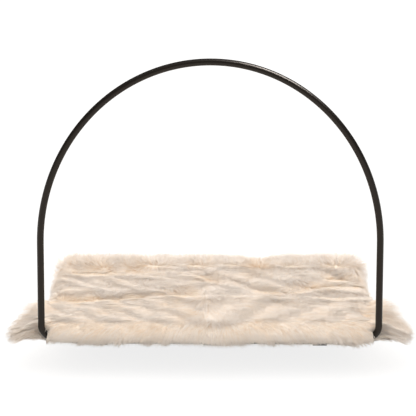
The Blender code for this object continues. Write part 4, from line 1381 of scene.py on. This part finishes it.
def grow(places, normals, wild, seed):
    """Points along each strand from its root, as an array of strand, station and axis."""
    own = np.random.default_rng(seed)
    count = len(places)
    x, y, z = places.T
    lay, felt = comb(places, normals)
    across = np.cross(normals, lay)
    zone = zones(places)
    fan, band, wing = zone["fan"], zone["band"] * (1 - zone["fan"]), zone["wing"]
    flank, back, rear = zone["flank"], zone["back"], 1 - zone["band"]
    calm = 1 - 0.45 * band * (1 - wing)
    turn = own.normal(0, 0.3 * wild, count) * calm
    lay = lay * np.cos(turn)[:, None] + across * np.sin(turn)[:, None]
    across = np.cross(normals, lay)
    length = PILE_LENGTH * own.uniform(0.8, 1.12, count) * (1 - 0.2 * rear) * (1 - 0.3 * felt)
    length *= 1 + 0.18 * fan + 0.25 * wing - 0.1 * flank
    right_rear = back * ease((x - 0.13) / 0.05)
    start = own.normal(80, 3 * wild, count) + 2 * band - 5 * rear - 16 * back - 10 * right_rear
    start = np.radians(start)
    end = np.radians(own.normal(90, 3 * wild, count) - 18 * back + 4 * fan)
    curl = own.normal(0, 0.3 * wild, count) * calm + 0.35 * rear * ripples(places, 0.05, 6)
    droop = 0.1 + 0.9 * fan + 0.3 * flank + 0.1 * wing
    radial = from_wing_root(places)
    line = np.empty((count, STATIONS, 3))
    line[:, 0] = places
    for step in range(1, STATIONS):
        share = (step - 0.5) / (STATIONS - 1)
        tilt = start + (end - start) * share
        heading = lay * np.cos(curl * share)[:, None] + across * np.sin(curl * share)[:, None]
        way = normals * np.cos(tilt)[:, None] + heading * np.sin(tilt)[:, None]
        spread = unit(normals * 0.3 * (1 - share) + radial + 0.2 * heading)
        way = way * (1 - wing[:, None]) + spread * wing[:, None]
        way[:, 2] -= droop * share
        line[:, step] = line[:, step - 1] + unit(way, 0) * (length / (STATIONS - 1))[:, None]
    ragged = own.normal(0, RAGGED, count) + wave(places, *RAGGED_WAVE)
    end_z = np.where(fan > 0.5, FRINGE_END + ragged, SKIRT_END + ragged)
    end_z = end_z - POINT_DEPTH * fan * ease(2 * np.sin(places[:, 0] * 61 + 0.6))
    drop = z - line[:, -1, 2]
    room = np.maximum(z - end_z, SHORTEST_DROP)
    cut = np.where(drop > room, room / np.maximum(drop, 1e-6), 1)
    past = np.abs(line[:, -1, 0]) - np.abs(x)
    room = np.maximum(wing_tips(line[:, -1]) + 2 * ragged - np.abs(x), SHORTEST_REACH)
    shorter = np.minimum(cut, room / np.maximum(past, 1e-6))
    cut = np.where((wing > 0.2) & (past > room), shorter, cut)
    return places[:, None] + (line - places[:, None]) * cut[:, None, None]


# %% [markdown]
# ## Locks and tufts
# Long fibres don't lie singly. They stick together in locks of a few millimetres, and the locks
# gather in tufts with pointed ends. Each strand therefore takes most of its shape from its lock,
# and each lock from its tuft, and both are drawn together towards their tips.

# %% Gather strands into locks, and locks into tufts
def nearest(places, homes):
    """The index of the nearest home of each place."""
    tree = kdtree.KDTree(len(homes))
    for index, spot in enumerate(homes):
        tree.insert(spot, index)
    tree.balance()
    return np.array([tree.find(spot)[1] for spot in places])


def gather(lines, guides, home, likeness, pull):
    """Bends lines towards the guides of their homes, and draws their tips together."""
    share = np.linspace(0, 1, STATIONS)[None, :, None]
    roots, guide = lines[:, :1], guides[home]
    shape = lines - roots
    shape = shape * (1 - likeness) + (guide - guide[:, :1]) * likeness
    apart = guide[:, :1] - roots
    return roots + shape + apart * pull[:, None, None] * share ** 1.6


tuft_lines = grow(tuft_roots, tuft_normals, 0.2, 21)
lock_lines = grow(lock_roots, lock_normals, 0.6, 22)
strand_lines = grow(strand_roots, strand_normals, 1.3, 23)
lock_home = nearest(lock_roots, tuft_roots)
strand_home = nearest(strand_roots, lock_roots)
lock_pull = 0.05 + 0.6 * zones(lock_roots)["fan"]
strand_pull = 0.3 + 0.3 * zones(strand_roots)["fan"]
lock_lines = gather(lock_lines, tuft_lines, lock_home, 0.3, lock_pull)
strand_lines = gather(strand_lines, lock_lines, strand_home, 0.4, strand_pull)
print("strands gathered")

# %% [markdown]
# ## Room for the moving parts and the window
# The hair leaves the same room as its ground. The fringe stays between the legs of the arch and
# the wings behind them. Hair over the path of the folded legs, over the cups, which turn a
# little, and at the window is pressed aside. Each strand stops at its own small distance, so the
# pressed hair still lies in layers.

# %% Keep the strands off their neighbours
FRINGE_STOP = 0.28
FRINGE_GIVE = 0.15
WING_BEHIND = 0.0075
WINDOW_GAP = 0.001
FRINGE_REACH = 0.0195
LAYER_SPREAD = 0.005
LEG_ROOM = 0.0015
CUP_SWING = 0.037
CUP_SIDE_ROOM = 0.034
fold_limit = max(next(j for j in frame["joints"] if j["name"] == "arch_fold")["range_deg"])
prop_turn = math.radians(fold_limit - 180)
cup_places = [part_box(f"suction_cup_{number}") for number in CUP_NUMBERS]
cup_middles = [(low[0] + high[0]) / 2 for low, high in cup_places]
layers = np.random.default_rng(41).random((STRANDS, 1)) * LAYER_SPREAD


def keep_beside_legs(lines):
    """Keeps the fringe between the legs of the arch, and the wings behind them."""
    side, across = np.sign(lines[..., 0]), np.abs(lines[..., 0])
    from_fringe = lines[:, :1, 1] < arch_hinge.y + RIDGE_LEAD
    fringe = from_fringe & (across > FRINGE_STOP)
    drawn_in = side * (FRINGE_STOP + FRINGE_GIVE * (across - FRINGE_STOP))
    lines[..., 0] = np.where(fringe, drawn_in, lines[..., 0])
    past_leg = np.maximum(0, across - arch_half - 2 * tube_radius)
    behind = arch_hinge.y + WING_BEHIND + layers - past_leg
    wing = ~from_fringe & (across > FRINGE_STOP)
    pressed = wing & (lines[..., 1] < behind)
    lines[..., 1] = np.where(pressed, behind, lines[..., 1])
    return pressed.any(axis=1)


def keep_in_depth(lines):
    """Presses the hair behind the bed off the glass, and the longest of the fringe to its bars."""
    lines[..., 1] = np.minimum(lines[..., 1], -WINDOW_GAP - layers)
    lines[..., 1] = np.maximum(lines[..., 1], frame_low.y - FRINGE_REACH + layers)


def part_round_folded_legs(lines):
    """Parts the hair behind the legs round the place that they take under the bed."""
    side, past = np.sign(lines[..., 0]), np.abs(lines[..., 0]) - arch_half
    back = lines[..., 1] - arch_hinge.y
    room = tube_radius + LEG_ROOM
    top_of_leg = arch_hinge.z + room / math.sin(prop_turn) - back / math.tan(prop_turn)
    own_side = np.where(past[:, :1] < 0, -1, 1)
    inside = (past * own_side < room) & (back > 0) & (lines[..., 2] < top_of_leg)
    aside = side * (arch_half + own_side * (room + 0.3 * layers))
    lines[..., 0] = np.where(inside, aside, lines[..., 0])


def keep_over_cups(lines):
    """Lifts the hair behind the rear bar over the cups."""
    for middle in cup_middles:
        near = np.abs(lines[..., 0] - middle) < CUP_SIDE_ROOM
        near &= lines[..., 1] > rear_bar_y + tube_radius
        lifted = np.maximum(lines[..., 2], CUP_SWING + 0.6 * layers)
        lines[..., 2] = np.where(near, lifted, lines[..., 2])


def push_off(lines, start, end, clearance):
    """Moves points that are closer to a bar than its radius out to its surface."""
    run = end - start
    share = np.clip((lines - start) @ run / (run @ run), 0, 1)
    axis = start + share[..., None] * run
    off = lines - axis
    far = np.linalg.norm(off, axis=-1, keepdims=True)
    return np.where(far < clearance, axis + off / np.maximum(far, 1e-9) * clearance, lines)


strand_normals[keep_beside_legs(strand_lines)] += (0, -2, 0)
part_round_folded_legs(strand_lines)
keep_over_cups(strand_lines)
keep_in_depth(strand_lines)
route = [np.array(place) for place in arch_route()]
low_route = [(a, b) for a, b in zip(route, route[1:]) if min(a[2], b[2]) < cover_high.z + 0.01]
for start, end in low_route:
    strand_lines[:, 1:] = push_off(strand_lines[:, 1:], start, end, tube_radius + LEG_GAP)
print("bars that the pile keeps off:", len(low_route))

# %% [markdown]
# ## From lines to mesh
# One strand is a long cone with three sides. A pattern strand is made once, and every other
# strand repeats its corners and faces along its own line, which is quick even for many thousands.
# Each strand carries two numbers for its colour: the place along it, and a tint of its own.

# %% A pattern strand
STRAND_SIDES = 3
STRAND_RADIUS = 0.00045
STRAND_FLATNESS = 0.35
# Keeps the side of a strand clear where its line runs straight along the normal.
SIDE_HINT = (0.03, 0.02, 0.1)
TAPER_SHARES = (0.85, 1.0, 0.92, 0.66, 0.0)


def pattern_strand():
    """Corners (station and angle) and faces of one strand, from a cone cut across its length."""
    shape = bmesh.new()
    bmesh.ops.create_cone(
        shape, cap_ends=True, segments=STRAND_SIDES, radius1=1, radius2=0, depth=STATIONS - 1)
    bmesh.ops.translate(shape, verts=shape.verts, vec=(0, 0, (STATIONS - 1) / 2))
    for height in range(1, STATIONS - 1):
        bmesh.ops.bisect_plane(
            shape, geom=[*shape.verts, *shape.edges, *shape.faces],
            plane_co=(0, 0, height), plane_no=(0, 0, 1))
    shape.verts.index_update()
    corners = np.array([corner.co for corner in shape.verts])
    faces = [[corner.index for corner in face.verts] for face in shape.faces]
    shape.free()
    station = np.rint(corners[:, 2]).astype(int)
    angle = np.arctan2(corners[:, 1], corners[:, 0])
    return station, angle, faces


pattern_station, pattern_angle, pattern_faces = pattern_strand()
print("one strand has", len(pattern_station), "corners and", len(pattern_faces), "faces")

# %% Repeat it along the lines
def tints(places, home):
    """Each strand's tint from 0, pale and cool, to 1, warm and deep: partly at random, partly
    painted shade.
    """
    felt = from_dents(places)[0]
    own = np.random.default_rng(31)
    lock_tint = own.normal(0, 0.2, len(lock_roots))[home]
    wide = wave(places, *WIDE_TINT)
    zone = zones(places)
    # Painted shade: strands near the dents, and a little more in the band, are tinted warm and deep.
    even = 0.25 + 0.1 * zone["band"]
    return np.clip(even + lock_tint + wide + 0.6 * felt + own.normal(0, 0.12, len(places)), 0, 1)


def strand_mesh(name, lines, normals, tint):
    """All strands of one piece as closed slim cones, pressed flat along the ground."""
    count, corners = len(lines), len(pattern_station)
    way = unit(np.gradient(lines, axis=1), 1e-12)
    side = unit(np.cross(normals[:, None] + np.array(SIDE_HINT), way), 1e-12)
    up = np.cross(way, side)
    width = STRAND_RADIUS * np.array(TAPER_SHARES)[pattern_station]
    outward_way = side[:, pattern_station] * np.cos(pattern_angle)[None, :, None]
    outward_way += up[:, pattern_station] * STRAND_FLATNESS * np.sin(pattern_angle)[None, :, None]
    places = lines[:, pattern_station] + outward_way * width[None, :, None]
    sizes = np.tile([len(face) for face in pattern_faces], count)
    loops = np.concatenate([np.array(face) for face in pattern_faces])
    loops = (loops[None, :] + corners * np.arange(count)[:, None]).ravel()
    mesh = bpy.data.meshes.new(name)
    mesh.vertices.add(count * corners)
    mesh.vertices.foreach_set("co", places.astype(np.float32).ravel())
    mesh.loops.add(len(loops))
    mesh.loops.foreach_set("vertex_index", loops.astype(np.int32))
    mesh.polygons.add(len(sizes))
    starts = np.concatenate([[0], np.cumsum(sizes)[:-1]])
    mesh.polygons.foreach_set("loop_start", starts.astype(np.int32))
    mesh.update(calc_edges=True)
    along = np.tile(pattern_station / (STATIONS - 1), count)
    own_tint = np.repeat(tint, corners)
    for label, values in (("along", along), ("tint", own_tint)):
        layer = mesh.attributes.new(label, "FLOAT", "POINT")
        layer.data.foreach_set("value", values.astype(np.float32))
    chart = mesh.uv_layers.new(name="OFBake")
    around = np.tile((np.cos(pattern_angle) * 0.002), count)
    places_on_chart = np.column_stack([0.02 + 0.96 * along, 0.02 + 0.96 * own_tint + around])
    chart.uv.foreach_set("vector", places_on_chart[loops].astype(np.float32).ravel())
    return mesh


# %% [markdown]
# ## The colour of the pile
# The fibres are dyed cream. They look warm and deep at the root, where light bounces between them,
# and pale with a hint of pink at the tip. That shade is painted in: the colour is a ramp along the
# strand from a darker root to a pale tip, and the tint of each strand moves it between a cool and a
# warm one, at random and, near the dents and in the band, as painted shade.

# %% Cream fibres
# Root, middle and tip of a cool and of a warm fibre. The darker roots are painted shade.
COOL_FIBRE = ((0.96, 0.865, 0.765, 1), (0.985, 0.91, 0.845, 1), (0.975, 0.91, 0.85, 1))
WARM_FIBRE = ((0.85, 0.63, 0.43, 1), (0.94, 0.80, 0.65, 1), (0.955, 0.86, 0.77, 1))
# Painted shade for each lay of the pile: the fringe and the band are painted darker than the top.
FIBRE_PAINTED_SHADES = {"seat": 1, "band": 0.975, "fringe": 0.93, "flank": 1, "wing": 1}


def fibre_ramp(tree, along, colours, shade):
    """A ramp from a painted-shade root to the tip of a strand, all of it darkened by a painted
    shade.
    """
    ramp = add_node(tree, "ValToRGB")
    ramp.color_ramp.elements.new(0.45)
    for element, position, colour in zip(ramp.color_ramp.elements, (0.05, 0.45, 0.95), colours):
        element.position = position
        element.color = np.array(colour) * (shade, shade, shade, 1)
    tree.links.new(along, ramp.inputs["Fac"])
    return ramp.outputs["Color"]


def cream_fibres(name, shade):
    """Soft dull fibres whose colour runs from a warm root, darkened as painted shade, to a pale tip.
    """
    material, tree, shader = new_material(name, roughness=0.9)
    shader.inputs["Specular IOR Level"].default_value = 0.0
    along = add_node(tree, "Attribute", attribute_name="along")
    tint = add_node(tree, "Attribute", attribute_name="tint")
    cool = fibre_ramp(tree, along.outputs["Fac"], COOL_FIBRE, shade)
    warm = fibre_ramp(tree, along.outputs["Fac"], WARM_FIBRE, shade)
    mix = add_node(tree, "Mix", data_type="RGBA")
    wire(tree, (tint, "Fac", mix, "Factor"))
    tree.links.new(cool, mix.inputs["A"])
    tree.links.new(warm, mix.inputs["B"])
    wire(tree, (mix, "Result", shader, "Base Color"))
    return material


fibres = {
    zone: cream_fibres("cream_fibres_" + zone, shade) for zone, shade in FIBRE_PAINTED_SHADES.items()}
print("fibre materials:", len(fibres))

# %% Sort the strands into pieces and make them
def patch_of(places):
    """A patch of the coat for each tuft, so that no mesh grows too large."""
    x, y, z = places.T
    names = np.full(len(places), "seat", object)
    names[y < crease_y] = "band"
    names[y < ridge_y] = "fringe"
    column = np.array(PATCH_COLUMNS, object)[np.digitize(x, np.array(PATCH_BORDER_SHARES) * rail_x)]
    outside = (np.abs(x) > PATCH_SIDE) & (y >= arch_hinge.y)
    names[outside] = np.where(y[outside] < crease_y, "wing", "flank")
    column[outside] = np.where(x[outside] < 0, "left", "right")
    return names + "_" + column


PATCH_SIDE = 0.262
PATCH_COLUMNS = ("far_left", "left", "mid_left", "mid_right", "right", "far_right")
PATCH_BORDER_SHARES = (-0.7, -0.35, 0, 0.35, 0.7)


patches = patch_of(tuft_roots)[lock_home[strand_home]]
strand_tints = tints(strand_roots, strand_home)
for patch in sorted(set(patches)):
    mine = patches == patch
    mesh = strand_mesh(
        "pile_" + patch, strand_lines[mine], strand_normals[mine], strand_tints[mine])
    item = add_piece("pile_" + patch, mesh, fibres[patch.split("_")[0]], "bed")
    print(patch, int(mine.sum()), "strands")
